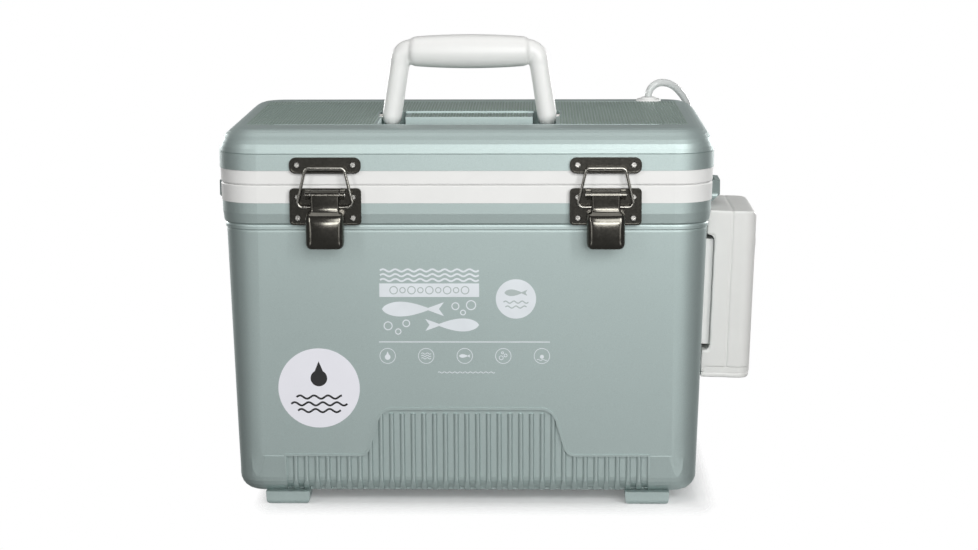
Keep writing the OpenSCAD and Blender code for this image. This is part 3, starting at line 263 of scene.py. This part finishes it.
def pearl(name, color, rough, metallic, coat=0.25):
    """Silver-green plastic with a fine metallic flake in it."""
    made, tree, shader = new_material(name)
    flake = ramp(tree, noise(tree, 2600, 1), 0.3, 0.72,
                 ([c * 0.93 for c in color], [min(1, c * 1.08) for c in color]))
    cloud = ramp(tree, noise(tree, 9, 3), 0.3, 0.7, ((0.97, 0.97, 0.97), (1.0, 1.0, 1.0)))
    mix = tree.nodes.new("ShaderNodeMix")
    mix.data_type = "RGBA"
    mix.blend_type = "MULTIPLY"
    mix.inputs["Factor"].default_value = 1
    tree.links.new(flake, mix.inputs["A"])
    tree.links.new(cloud, mix.inputs["B"])
    tree.links.new(mix.outputs["Result"], shader.inputs["Base Color"])
    tree.links.new(ramp(tree, noise(tree, 1300, 2), 0.3, 0.7, (rough * 0.88, rough * 1.14)),
                   shader.inputs["Roughness"])
    bump(tree, shader, noise(tree, 420, 3), 0.00002, 0.6)
    shader.inputs["Metallic"].default_value = metallic
    shader.inputs["Specular IOR Level"].default_value = 0.5
    shader.inputs["Coat Weight"].default_value = coat
    shader.inputs["Coat Roughness"].default_value = 0.4
    return made


def steel(name, color, rough):
    """Polished or satin steel with fine drawn lines and a faint mottle."""
    made, tree, shader = new_material(name)
    dark = [c * 0.93 for c in color]
    light = [min(1, c * 1.07) for c in color]
    tree.links.new(ramp(tree, noise(tree, 160, 4), 0.3, 0.7, (dark, light)), shader.inputs["Base Color"])
    tree.links.new(ramp(tree, noise(tree, 500, 3, 0.6), 0.25, 0.75, (rough * 0.85, rough * 1.2)),
                   shader.inputs["Roughness"])
    bump(tree, shader, noise(tree, 90, 2, 0.5, (1, 1, 9)), 0.000012, 0.5)
    shader.inputs["Metallic"].default_value = 1.0
    return made


def rubber(name, color, rough=0.6):
    """Dull rubber, or grit, with a faint mottle and a fine grain."""
    made, tree, shader = new_material(name)
    dark = [c * 0.8 for c in color]
    light = [c * 1.2 + 0.005 for c in color]
    tree.links.new(ramp(tree, noise(tree, 120, 4), 0.3, 0.7, (dark, light)), shader.inputs["Base Color"])
    shader.inputs["Roughness"].default_value = rough
    bump(tree, shader, noise(tree, 1500, 3), 0.00003)
    return made


def foam(name, color):
    """Dull foam with small cells."""
    made, tree, shader = new_material(name)
    coords = tree.nodes.new("ShaderNodeTexCoord")
    cells = tree.nodes.new("ShaderNodeTexVoronoi")
    cells.inputs["Scale"].default_value = 900
    tree.links.new(coords.outputs["Object"], cells.inputs["Vector"])
    # painted shade: the colour darkens by a fifth towards the middle of each cell, where the bump makes its
    # hollow
    dark = [c * 0.8 for c in color]
    tree.links.new(ramp(tree, cells.outputs["Distance"], 0.1, 0.7, (dark, color)),
                   shader.inputs["Base Color"])
    shader.inputs["Roughness"].default_value = 0.9
    bump(tree, shader, cells.outputs["Distance"], 0.0002)
    return made


def vinyl(name):
    """Milky soft tubing: most light scatters in it and a little passes."""
    made, tree, shader = new_material(name)
    tree.links.new(ramp(tree, noise(tree, 60, 3), 0.3, 0.7, ((0.70, 0.72, 0.71), (0.76, 0.78, 0.77))),
                   shader.inputs["Base Color"])
    tree.links.new(ramp(tree, noise(tree, 90, 2), 0.3, 0.7, (0.24, 0.34)), shader.inputs["Roughness"])
    shader.inputs["Transmission Weight"].default_value = 0.2
    shader.inputs["IOR"].default_value = 1.45
    shader.inputs["Coat Weight"].default_value = 0.3
    shader.inputs["Coat Roughness"].default_value = 0.2
    return made


def paint(made, material):
    """The piece gets this material and no other."""
    made.data.materials.clear()
    made.data.materials.append(material)


SHELL = (0.41, 0.49, 0.478)
MATERIALS = {
    "shell_green": pearl("shell_green_moulded", SHELL, 0.51, 0.68),
    "white_plastic": plastic("white_moulded", (0.78, 0.78, 0.765), 0.38, tone=0.012),
    "foam": foam("foam_cells", (0.83, 0.78, 0.6)),
    "dark_steel": steel("dark_polished_steel", (0.13, 0.125, 0.11), 0.17),
    "bright_steel": steel("bright_steel", (0.62, 0.61, 0.58), 0.26),
    "pump_plastic": plastic("pump_moulded", (0.72, 0.72, 0.70), 0.42, tone=0.012),
    "black_rubber": rubber("dark_rubber", (0.07, 0.075, 0.075)),
    "tan_rubber": rubber("tan_rubber_worn", (0.36, 0.34, 0.26)),
    "cell_sleeve": plastic("cell_wrap", (0.5, 0.36, 0.1), 0.3, coat=0.4),
    "black_plastic": plastic("black_moulded", (0.045, 0.045, 0.045), 0.45, tone=0.1),
    "board": plastic("board_mask", (0.04, 0.2, 0.09), 0.35, tone=0.12, coat=0.3),
    "green_lens": plastic("lamp_lens", (0.12, 0.5, 0.2), 0.12, tone=0.02, coat=0.6),
    "clear_tube": vinyl("clear_vinyl"),
    "stone": rubber("air_stone_grit", (0.22, 0.30, 0.35), 0.95),
}

slot_of = {row["node"]: row["material_slot"] for row in frame["record"]["subparts"]}
for node, piece in frame["nodes"].items():
    paint(piece, MATERIALS[slot_of[node]])

# the bails get a lighter copy of the steel, which is painted light making up for the dark room their sides
# reflect, and the pressed plates have eased edges that catch the light
bail_lightened_steel = steel("bail_steel_painted_light", (0.34, 0.33, 0.30), 0.2)
for side in ("left", "right"):
    frame["nodes"]["latch_bail_" + side].data.materials[0] = bail_lightened_steel
for node in ("latch_bases", "latch_keepers"):
    ease = frame["nodes"][node].modifiers.new("ease", "BEVEL")
    ease.width = 0.00035
    ease.segments = 2
    ease.limit_method = "ANGLE"
    ease.angle_limit = math.radians(40)

for tube in (outer_tube, inner_tube):
    paint(tube, MATERIALS["clear_tube"])

# painted shade: the ribs get a darker, duller copy of the shell's colour, so the lid's ribbed top looks less
# lit than its front
lid_rib_shaded_material = pearl("lid_rib_painted_shade", (0.25, 0.33, 0.285), 0.5, 0.3, 0.0)

# ---------- carry handle, with its legs flowing into the grip ----------


def smooth_copy(name, node, voxel, rounds):
    """A copy of a CAD node with its inside corners filled and its edges eased."""
    source = frame["nodes"][node]
    made = bpy.data.objects.new(name, source.data.copy())
    bpy.context.scene.collection.objects.link(made)
    weld = made.modifiers.new("weld", "WELD")
    weld.merge_threshold = 0.00001
    remesh = made.modifiers.new("remesh", "REMESH")
    remesh.mode = "VOXEL"
    remesh.voxel_size = voxel
    ease = made.modifiers.new("ease", "SMOOTH")
    ease.factor = 0.5
    ease.iterations = rounds
    graph = bpy.context.evaluated_depsgraph_get()
    mesh = bpy.data.meshes.new_from_object(made.evaluated_get(graph))
    made.modifiers.clear()
    made.data = mesh
    for polygon in mesh.polygons:
        polygon.use_smooth = True
    return made


handle = smooth_copy("carry_handle_grip", "carry_handle", 0.0009, 10)
paint(handle, MATERIALS["white_plastic"])
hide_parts("carry_handle")
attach(handle, "handle")

# ---------- draw-latch levers, pressed from sheet with rolled sides ----------

LATCH_X = 102.5
LATCH_Y = -129.1
LATCH_Z = 237.0
SHEET = 1.1
# radius, half width, first angle, sweep and steps of the curl round the pivot
PIVOT_CURL, CURL_HALF, CURL_FROM, CURL_SWEEP, CURL_STEPS = 3.75, 10.5, -8, 178, 14
# how much the lever's front stands out in its middle
LEVER_CROWN = 0.35
# height, front, half width, how far back the sides reach, roundness of the sides
LEVER_ROWS = [
    (0, 3.8, 10.5, -1, 1.6), (-4, 3.8, 10.5, -3.4, 1.6), (-9, 3.8, 10.5, -3.4, 1.8),
    (-11.5, 4.2, 10.7, -3.4, 2), (-12.6, 5, 12.2, -3.4, 2.4), (-13.6, 6.2, 13.4, -3.4, 3),
    (-15, 7.5, 13.9, -3.4, 3.8), (-18, 8.8, 14, -3.4, 4.4), (-22, 9.3, 14, -3.4, 5),
    (-26, 9.4, 14, -3.4, 5.2), (-30, 9.4, 14, -3.2, 5.2), (-33, 9.3, 14, -1, 5.2),
    (-35, 9.2, 13.9, 3, 4.6), (-36.8, 9, 13.4, 4.6, 3.8), (-38, 8.6, 12.5, 5, 3),
    (-38.8, 7.9, 11.4, 5.2, 2.2), (-39, 7, 10.5, 5.2, 1.1)]
LEVER_END = LEVER_ROWS[-1][0]


def spline_rows(rows, steps):
    """The rows of numbers with smooth ones between them."""
    out = []
    ends = [rows[0]] + list(rows) + [rows[-1]]
    for a, b, c, d in zip(ends, ends[1:], ends[2:], ends[3:]):
        for k in range(steps):
            out.append([spline(*four, k / steps) for four in zip(a, b, c, d)])
    out.append(list(rows[-1]))
    return out


def lever_section(front, half, back, r, inset):
    """Points (across, out) of one level of the sheet, from one side's back edge round to the other's."""
    half, front = half - inset, front - inset
    r = max(r - inset, 0.1)
    side = [(half, back), (half, (back + front - r) / 2), (half, front - r)]
    for k in range(1, 6):
        a = math.radians(18 * k)
        side.append((half - r + r * math.cos(a), front - r + r * math.sin(a)))
    flat = half - r
    middle = [(flat * (1 - k / 4), front + LEVER_CROWN * (1 - (1 - k / 4) ** 2)) for k in range(5)]
    right = side[:-1] + middle
    return right + [(-x, u) for x, u in reversed(right[:-1])]


def make_lever(name, node, body, sign):
    """A lever as a closed sheet: its outer skin, its inner skin and the edges between, then the curl."""
    verts, faces = [], []

    def point(x, u, v):
        verts.append((sign * LATCH_X + x, LATCH_Y - u, LATCH_Z + v))

    rows = spline_rows(LEVER_ROWS, 3)
    for inset in (0, SHEET):
        for v, front, half, back, r in rows:
            for x, u in lever_section(front, half, back, r, inset):
                point(x, u, v if inset == 0 else max(v, SHEET + LEVER_END))
    n = len(verts) // (2 * len(rows))
    layer = n * len(rows)
    for i in range(len(rows) - 1):
        for k in range(n - 1):
            a, b, c, d = i * n + k, i * n + k + 1, (i + 1) * n + k + 1, (i + 1) * n + k
            faces += [(a, b, c, d), (a + layer, d + layer, c + layer, b + layer)]
        for k in (0, n - 1):
            a, d = i * n + k, (i + 1) * n + k
            faces.append((a, d, d + layer, a + layer))
    for base in (0, (len(rows) - 1) * n):
        for k in range(n - 1):
            faces.append((base + k, base + k + 1, base + k + 1 + layer, base + k + layer))
    # the curl round the pivot
    first = len(verts)
    inside = PIVOT_CURL - SHEET
    for k in range(CURL_STEPS + 1):
        a = math.radians(CURL_FROM + CURL_SWEEP * k / CURL_STEPS)
        for x, r in ((-1, PIVOT_CURL), (1, PIVOT_CURL), (1, inside), (-1, inside)):
            point(x * CURL_HALF, r * math.cos(a), r * math.sin(a))
    for k in range(CURL_STEPS):
        for j in range(4):
            a, b = first + 4 * k + j, first + 4 * k + (j + 1) % 4
            faces.append((a, b, b + 4, a + 4))
    for base in (first, first + 4 * CURL_STEPS):
        faces.append(tuple(base + j for j in range(4)))
    made = mesh_object(name, verts, faces, smooth=True)
    made.data.set_sharp_from_angle(angle=math.radians(45))
    made.data.materials.append(MATERIALS["dark_steel"])
    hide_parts(node)
    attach(made, body)


make_lever("latch_lever_left_pressed", "latch_lever_left", "lever_left", -1)
make_lever("latch_lever_right_pressed", "latch_lever_right", "lever_right", 1)

# ---------- pump case, with its edges eased ----------

PUMP_X, PUMP_Z = 178.9, 214.0
WALL_TILT = math.radians(1.98864)
CASE_HALF, CASE_ROUND, CASE_OUT = 45, 10, 42
# in the pump's own frame, the cap's seam band: how far it lies under the case's skin, its levels,
# how far from the wall it starts and how deep it is
TRIM_UNDER = 0.3
CAP_SEAM = (-126.2, -121.8)
CAP_BAND_FROM, CAP_BAND_DEEP = 6.0, 2.0
# the recess at the wall: its ends, with the way to its middle, its deep face, its roundness and half width
RECESS_ENDS = ((-19, -1), (-109, 1))
RECESS_FACE, RECESS_ROUND, RECESS_HALF = 10, 4, 44.4
# the seam between the two shells: its sides, its foot and where its floor lies
SEAM_SIDES = (21.8, 24.8)
SEAM_FOOT = -125.5
SEAM_FLOOR, SEAM_BED = 0.35, 1.6


def pump_point(x, y, z):
    """A point of the pump's own frame, in the tub's."""
    return (PUMP_X + x * math.cos(WALL_TILT) + z * math.sin(WALL_TILT), y,
            PUMP_Z - x * math.sin(WALL_TILT) + z * math.cos(WALL_TILT))


for node in ("pump_back_shell", "pump_front_shell", "pump_bottom_cap"):
    eased = smooth_copy(node + "_moulded", node, 0.0008, 6)
    paint(eased, MATERIALS["pump_plastic"])
    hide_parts(node)
    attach(eased, "tub")


def prism(verts, faces, outline, place, low, high):
    """A closed prism: the outline at two levels of the axis that place() runs along."""
    base, n = len(verts), len(outline)
    for level in (low, high):
        verts += [place(a, b, level) for a, b in outline]
    faces.append(tuple(base + k for k in range(n)))
    faces.append(tuple(base + n + k for k in range(n)))
    for k in range(n):
        j = (k + 1) % n
        faces.append((base + k, base + j, base + n + j, base + n + k))


def make_case_trim():
    """The cap's seam band, the rounded ends of the recess at the wall and the floor of the shells' seam."""
    verts, faces = [], []
    for turn in (-1, 1):
        outer = [(CAP_BAND_FROM, CASE_HALF - TRIM_UNDER)]
        for k in range(10):
            a = math.radians(90 - 6 * k)
            outer.append((CASE_OUT - CASE_ROUND + (CASE_ROUND - TRIM_UNDER) * math.cos(a),
                          CASE_HALF - CASE_ROUND + (CASE_ROUND - TRIM_UNDER) * math.sin(a)))
        inner = [(x, y - CAP_BAND_DEEP) for x, y in reversed(outer)]
        prism(verts, faces, [(x, turn * y) for x, y in outer + inner], pump_point, *CAP_SEAM)
    for z, up in RECESS_ENDS:
        corner = [(RECESS_FACE + 0.3, z - up * 0.3), (RECESS_FACE + 0.3, z + up * (RECESS_ROUND + 0.2))]
        for k in range(9):
            a = math.radians(90 * k / 8)
            corner.append((RECESS_FACE - RECESS_ROUND * (1 - math.cos(a)),
                           z + up * RECESS_ROUND * (1 - math.sin(a))))
        corner.append((RECESS_FACE - RECESS_ROUND - 0.2, z - up * 0.3))
        # this outline lies in x and z, so its prism runs along y
        prism(verts, faces, corner, lambda x, z, y: pump_point(x, y, z), -RECESS_HALF, RECESS_HALF)
    x0, x1 = SEAM_SIDES
    for turn in (-1, 1):
        y0, y1 = turn * (CASE_HALF - SEAM_BED), turn * (CASE_HALF - SEAM_FLOOR)
        prism(verts, faces, [(x0, y0), (x1, y0), (x1, y1), (x0, y1)], pump_point, SEAM_FOOT, -SEAM_BED)
    y1 = CASE_HALF - 0.4
    prism(verts, faces, [(x0, -y1), (x1, -y1), (x1, y1), (x0, y1)], pump_point, -SEAM_BED, -SEAM_FLOOR)
    made = mesh_object("pump_case_trim", verts, faces)
    made.data.materials.append(MATERIALS["pump_plastic"])
    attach(made, "tub")


make_case_trim()

# ---------- ribs on the lid's top ----------

RIB_PITCH = 147 / 63
RIB_FOOT = 0.75
RIB_CREST = 0.45
RIB_RISE = 0.32
RIB_X = 165.5
RIB_Y = 84.5
RIB_GAP = 1.2
RIB_SINK = 0.15
RIB_END = 0.5
RIB_SHORTEST = 4
# as in the part's source: the finger pocket, the slots of the handle's legs and the island between them
POCKET_HALF, POCKET_FRONT = 67, -84
SLOT_IN, SLOT_OUT, SLOT_FRONT, SLOT_BACK = 49, 70, -26.4, 13
ISLAND_BACK, ISLAND_DROP = 12, 1.5
# the island's own ribs
ISLAND_RIB_X, ISLAND_RIB_Y = 46, (-18.2, 10.8)


def rib_runs(x):
    """The stretches of Y on which the lid's top is level at that X."""
    if abs(x) < POCKET_HALF + RIB_GAP:
        back = SLOT_BACK if abs(x) > SLOT_IN - RIB_GAP else ISLAND_BACK
        runs = [(-RIB_Y, POCKET_FRONT - RIB_GAP), (back + RIB_GAP, RIB_Y)]
    elif abs(x) < SLOT_OUT + RIB_GAP:
        runs = [(-RIB_Y, SLOT_FRONT - RIB_GAP), (SLOT_BACK + RIB_GAP, RIB_Y)]
    else:
        runs = [(-RIB_Y, RIB_Y)]
    return [(a, b) for a, b in runs if b - a > RIB_SHORTEST]


def add_rib(verts, faces, x, y0, y1, z):
    base = len(verts)
    foot, crest = z - RIB_SINK, z + RIB_RISE
    for y, inset in ((y0, RIB_END), (y1, -RIB_END)):
        verts += [(x - RIB_FOOT, y, foot), (x + RIB_FOOT, y, foot),
                  (x + RIB_CREST, y + inset, crest), (x - RIB_CREST, y + inset, crest)]
    for k in range(4):
        j = (k + 1) % 4
        faces.append((base + k, base + j, base + 4 + j, base + 4 + k))
    faces.append((base, base + 1, base + 2, base + 3))
    faces.append((base + 4, base + 5, base + 6, base + 7))


def make_lid_ribs():
    verts, faces = [], []
    count = int(RIB_X / RIB_PITCH)
    for k in range(-count, count + 1):
        x = k * RIB_PITCH
        for y0, y1 in rib_runs(x):
            add_rib(verts, faces, x, y0, y1, LID_TOP)
        if abs(x) < ISLAND_RIB_X:
            add_rib(verts, faces, x, *ISLAND_RIB_Y, LID_TOP - ISLAND_DROP)
    made = mesh_object("lid_top_ribs", verts, faces)
    made.data.materials.append(lid_rib_shaded_material)
    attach(made, "lid")


make_lid_ribs()

# ---------- printed marks on the front wall ----------


def wall(x, z, proud):
    """A point that stands proud of the front wall."""
    inward = WALL_IN_LOW - (z - WALL_BEND_Z) * WALL_SLOPE
    return (x, inward - BODY_W / 2 - proud, z)


def ring(x, z, r, steps):
    """The points of a circle."""
    turns = [2 * math.pi * k / steps for k in range(steps)]
    return [(x + r * math.cos(a), z + r * math.sin(a)) for a in turns]


class Print:
    """Thin printed or stuck-on shapes that lie on the front wall."""

    def __init__(self, low, high):
        self.low, self.high = low, high
        self.verts, self.faces = [], []

    def fill(self, outline):
        base, n = len(self.verts), len(outline)
        for proud in (self.high, self.low):
            self.verts += [wall(x, z, proud) for x, z in outline]
        self.faces.append(tuple(base + k for k in range(n)))
        self.faces.append(tuple(base + n + k for k in reversed(range(n))))
        for k in range(n):
            j = (k + 1) % n
            self.faces.append((base + k, base + n + k, base + n + j, base + j))

    def strip(self, inner, outer, closed):
        base, n = len(self.verts), len(inner)
        for proud in (self.high, self.low):
            self.verts += [wall(x, z, proud) for x, z in inner]
            self.verts += [wall(x, z, proud) for x, z in outer]
        for k in range(n if closed else n - 1):
            j = (k + 1) % n
            a, b, c, d = base + k, base + j, base + n + j, base + n + k
            lower = 2 * n
            self.faces += [(a, b, c, d), (a + lower, d + lower, c + lower, b + lower),
                           (a, a + lower, b + lower, b), (d, c, c + lower, d + lower)]
        if not closed:
            for k in (0, n - 1):
                a, d = base + k, base + n + k
                self.faces.append((a, d, d + 2 * n, a + 2 * n))

    def disc(self, x, z, r, steps=48):
        self.fill(ring(x, z, r, steps))

    def circle(self, x, z, r, width, steps=40):
        self.strip(ring(x, z, r - width / 2, steps), ring(x, z, r + width / 2, steps), True)

    def stroke(self, line, width):
        inner, outer = [], []
        for i, (x, z) in enumerate(line):
            ahead = Vector(line[min(i + 1, len(line) - 1)]) - Vector(line[max(i - 1, 0)])
            ahead.normalize()
            inner.append((x + ahead.y * width / 2, z - ahead.x * width / 2))
            outer.append((x - ahead.y * width / 2, z + ahead.x * width / 2))
        self.strip(inner, outer, False)

    def wave(self, x0, x1, z, height, waves, width):
        steps = int(waves * 16)
        line = [(x0 + (x1 - x0) * k / steps, z + height * math.sin(2 * math.pi * waves * k / steps))
                for k in range(steps + 1)]
        self.stroke(line, width)

    def drop(self, x, z, r):
        outline = []
        for k in range(33):
            a = math.radians(-240 + 300 * k / 32)
            outline.append((x + r * math.cos(a), z + r * math.sin(a)))
        outline.append((x, z + 2.1 * r))
        self.fill(outline)

    def minnow(self, x, z, l, h, turn=1):
        """A plain small fish: a leaf-shaped body and a forked tail."""
        top, bottom = [], []
        for k in range(25):
            t = k / 24
            half = h / 2 * math.sin(math.pi * t ** 0.8) ** 0.8 * (1 - 0.25 * t) if 0 < t < 1 else 0
            place = x + turn * l * (t * 0.78 - 0.5)
            top.append((place, z + half))
            bottom.append((place, z - half))
        tip, notch = x + turn * l * 0.5, x + turn * l * 0.42
        tail = [(tip, z + h * 0.42), (notch, z), (tip, z - h * 0.42)]
        root = top[-1][0] - turn * l * 0.03
        self.fill(top[:-1] + [(root, z + h * 0.08)] + tail + [(root, z - h * 0.08)] + bottom[1:-1][::-1])

    def done(self, name, material):
        made = mesh_object(name, self.verts, self.faces)
        made.data.materials.append(material)
        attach(made, "tub")


def ink(name, color, rough, tone):
    return plastic(name, color, rough, grain=2500, grain_depth=0.000004, tone=tone)


label_white = ink("label_film", (0.78, 0.78, 0.83), 0.45, 0.01)
print_white = ink("printed_white", (0.70, 0.74, 0.77), 0.5, 0.03)
print_dark = ink("printed_dark", (0.012, 0.012, 0.013), 0.5, 0.1)
print_grey = ink("printed_grey", (0.40, 0.46, 0.45), 0.5, 0.03)

# round label at the lower left
LABEL_X = -110.1
label = Print(-0.05, 0.12)
label.disc(LABEL_X, 89.9, 30.4, 72)
label.done("round_label", label_white)
motif = Print(0.1, 0.18)
motif.drop(LABEL_X, 97.5, 6.2)
for row, half in enumerate((17, 21, 16)):
    motif.wave(LABEL_X - half, LABEL_X + half, 83 - 5.2 * row, 1.25, half / 5.25, 1.5)
motif.done("round_label_motif", print_dark)

# small round badge beside the printed block
BADGE_X = 36.8
badge = Print(-0.05, 0.1)
badge.disc(BADGE_X, 157.9, 14.9, 56)
badge.done("small_badge", print_white)
badge_motif = Print(0.08, 0.14)
badge_motif.minnow(BADGE_X, 162.6, 17, 5.6)
badge_motif.wave(27.6, 46.0, 155.5, 0.8, 3, 0.9)
badge_motif.wave(29.0, 44.6, 151.8, 0.8, 2.5, 0.9)
badge_motif.done("small_badge_motif", print_grey)

# printed block: waves, a bar and minnows, then a line of plain round signs
block = Print(-0.05, 0.09)
for row in range(3):
    block.wave(-63.6, 9.4, 179.4 - 3.6 * row, 0.9, 8, 1.35)
block.fill([(-64.2, 169.6), (-64.2, 159.4), (9.6, 159.4), (9.6, 169.6)])
block.minnow(-39.5, 150.2, 46, 12.5)
block.minnow(-10.5, 138.2, 40, 11, -1)
for x, z, r in ((-8, 152.4, 2.6), (-2.4, 147.6, 1.8), (3.6, 153.2, 3.4),
                (-58, 137.5, 3.0), (-50.5, 133.2, 2.0), (-44.5, 139.4, 2.5)):
    block.circle(x, z, r, 0.8, 24)
block.fill([(-64.9, 125.6), (-64.9, 124.9), (62.0, 124.9), (62.0, 125.6)])
SIGN_X, SIGN_STEP, SIGN_Z = -58.6, 28.65, 114.6
for k in range(5):
    x, z = SIGN_X + SIGN_STEP * k, SIGN_Z
    block.circle(x, z, 5.75, 0.45, 36)
    if k == 0:
        block.drop(x, z - 0.9, 2.1)
    elif k == 1:
        for row in range(3):
            block.wave(x - 3.6, x + 3.6, z + 1.8 - 1.8 * row, 0.5, 2, 0.55)
    elif k == 2:
        block.minnow(x, z, 8.4, 3.0)
    elif k == 3:
        for u, v, r in ((-1.6, -1.4, 1.5), (1.7, 0.4, 1.1), (-0.6, 2.4, 0.8)):
            block.circle(x + u, z + v, r, 0.5, 20)
    else:
        block.disc(x, z - 0.6, 1.5, 20)
        block.wave(x - 3.8, x + 3.8, z - 3.0, 0.4, 2, 0.5)
block.wave(-21.3, 21.1, 102, 0.45, 11, 0.5)
block.done("wall_print", print_white)
bar_motif = Print(0.07, 0.12)
for k in range(9):
    bar_motif.circle(-53.6 + 6.6 * k, 164.5, 2.0 if k % 2 else 2.8, 0.75, 28)
bar_motif.done("wall_print_bar_motif", print_grey)

# ---------- floor, world and lamps ----------

FLOOR_HALF = 4.5
ROOM_LIGHT = 0.16


def map_range(tree, source, low, high, out_low, out_high):
    out = tree.nodes.new("ShaderNodeMapRange")
    out.inputs["From Min"].default_value = low
    out.inputs["From Max"].default_value = high
    out.inputs["To Min"].default_value = out_low
    out.inputs["To Max"].default_value = out_high
    tree.links.new(source, out.inputs["Value"])
    return out.outputs["Result"]


def math_node(tree, operation, first, second):
    out = tree.nodes.new("ShaderNodeMath")
    out.operation = operation
    for socket, value in zip(out.inputs, (first, second)):
        if isinstance(value, (int, float)):
            socket.default_value = value
        else:
            tree.links.new(value, socket)
    return out.outputs["Value"]


def make_floor():
    mesh = bpy.data.meshes.new("floor")
    h = FLOOR_HALF
    mesh.from_pydata([(-h, -h, 0), (h, -h, 0), (h, h, 0), (-h, h, 0)], [], [(0, 1, 2, 3)])
    made = bpy.data.objects.new("floor", mesh)
    bpy.context.scene.collection.objects.link(made)
    material, tree, shader = new_material("floor_paper")
    shader.inputs["Roughness"].default_value = 0.9
    shader.inputs["Specular IOR Level"].default_value = 0.1
    tree.links.new(ramp(tree, noise(tree, 14, 3), 0.3, 0.7, ((0.90, 0.90, 0.90), (0.93, 0.93, 0.93))),
                   shader.inputs["Base Color"])
    # the paper takes the real shadow, but a mask lets 12% of the white behind show through under the object,
    # which is painted light that lifts the shadow; just outside the footprint the mask fades the paper into
    # the white, which cuts the shadow short
    coords = tree.nodes.new("ShaderNodeTexCoord")
    split = tree.nodes.new("ShaderNodeSeparateXYZ")
    tree.links.new(coords.outputs["Object"], split.inputs["Vector"])
    beyond = []
    for axis, half, reach in (("X", 0.157, 0.018), ("Y", 0.097, 0.042)):
        over = math_node(tree, "SUBTRACT", math_node(tree, "ABSOLUTE", split.outputs[axis], 0), half)
        beyond.append(math_node(tree, "DIVIDE", math_node(tree, "MAXIMUM", over, 0), reach))
    squares = [math_node(tree, "MULTIPLY", b, b) for b in beyond]
    distance = math_node(tree, "SQRT", math_node(tree, "ADD", squares[0], squares[1]), 0)
    shadow_lift_mask = map_range(tree, distance, 0, 1, 0.12, 1)
    clear = tree.nodes.new("ShaderNodeBsdfTransparent")
    mix = tree.nodes.new("ShaderNodeMixShader")
    tree.links.new(shadow_lift_mask, mix.inputs["Fac"])
    tree.links.new(shader.outputs["BSDF"], mix.inputs[1])
    tree.links.new(clear.outputs["BSDF"], mix.inputs[2])
    tree.links.new(mix.outputs["Shader"], tree.nodes["Material Output"].inputs["Surface"])
    mesh.materials.append(material)


def make_world():
    """White for the camera and through clear pieces; a dim room with a white sweep for the rest."""
    world = bpy.data.worlds.new("studio")
    bpy.context.scene.world = world
    world.use_nodes = True
    tree = world.node_tree
    tree.nodes.clear()
    coords = tree.nodes.new("ShaderNodeTexCoord")
    split = tree.nodes.new("ShaderNodeSeparateXYZ")
    tree.links.new(coords.outputs["Generated"], split.inputs["Vector"])
    x, y, z = (split.outputs[axis] for axis in "XYZ")

    def times(first, second):
        return math_node(tree, "MULTIPLY", first, second)

    def width():
        return math_node(tree, "ABSOLUTE", x, 0)

    # a dim sweep in front and a white one behind
    below = map_range(tree, z, -0.30, -0.02, 0.02, 0.15)
    above = map_range(tree, z, 0.30, 0.60, 1.0, 0.15)
    aside = map_range(tree, width(), 0.35, 0.9, 1.0, 0.2)
    front = times(times(below, above), aside)
    behind = map_range(tree, y, 0.6, 0.95, 0.0, 1.0)
    sweep = map_range(tree, z, 0.04, -0.04, 0.0, 1.0)
    room = math_node(tree, "MAXIMUM", front, times(behind, sweep))
    # two tall soft boxes at the front corners, as metal sees them
    off = math_node(tree, "ABSOLUTE", math_node(tree, "SUBTRACT", width(), 0.60), 0)
    band = times(map_range(tree, off, 0.07, 0.12, 2.2, 0), map_range(tree, y, -0.2, -0.4, 0, 1))
    band = times(band, map_range(tree, z, 0.12, 0.25, 1, 0))
    band = times(band, map_range(tree, z, -0.24, -0.14, 0, 1))
    room = math_node(tree, "MAXIMUM", room, band)
    rays = tree.nodes.new("ShaderNodeLightPath")
    seen = math_node(tree, "MAXIMUM", rays.outputs["Is Camera Ray"], rays.outputs["Is Transmission Ray"])
    shiny = times(rays.outputs["Is Glossy Ray"], room)
    level = math_node(tree, "MAXIMUM", math_node(tree, "MAXIMUM", seen, shiny), ROOM_LIGHT)
    light = tree.nodes.new("ShaderNodeBackground")
    light.inputs["Color"].default_value = (1, 1, 1, 1)
    tree.links.new(level, light.inputs["Strength"])
    out = tree.nodes.new("ShaderNodeOutputWorld")
    tree.links.new(light.outputs["Background"], out.inputs["Surface"])


def area_lamp(name, place, aim, size, power):
    data = bpy.data.lights.new(name, "AREA")
    data.shape = "RECTANGLE"
    data.size, data.size_y = size
    data.energy = power
    made = bpy.data.objects.new(name, data)
    bpy.context.scene.collection.objects.link(made)
    made.location = place
    made.rotation_mode = "QUATERNION"
    made.rotation_quaternion = (Vector(aim) - Vector(place)).to_track_quat("-Z", "Y")


make_floor()
make_world()
# name, place, aim, size and power
for lamp in (
        ("key_box", (0.45, -1.7, 1.05), (0.03, 0, 0.24), (1.1, 0.7), 13),
        ("low_box", (0.30, -2.3, 0.50), (0.02, 0, 0.22), (1.2, 0.35), 15),
        ("left_strip", (-0.85, -1.05, 0.75), (0, 0, 0.25), (0.16, 0.6), 3.0),
        ("right_strip", (0.80, -1.15, 0.70), (0, 0, 0.2), (0.16, 0.7), 5),
        ("top_box", (0.0, 0.1, 2.0), (0, 0, 0.2), (1.8, 1.4), 10),
        ("rear_left_box", (-1.35, 1.6, 0.45), (0, 0.05, 0.18), (0.7, 0.6), 17),
        ("rear_right_box", (1.35, 1.6, 0.45), (0, 0.05, 0.18), (0.7, 0.6), 17)):
    area_lamp(*lamp)
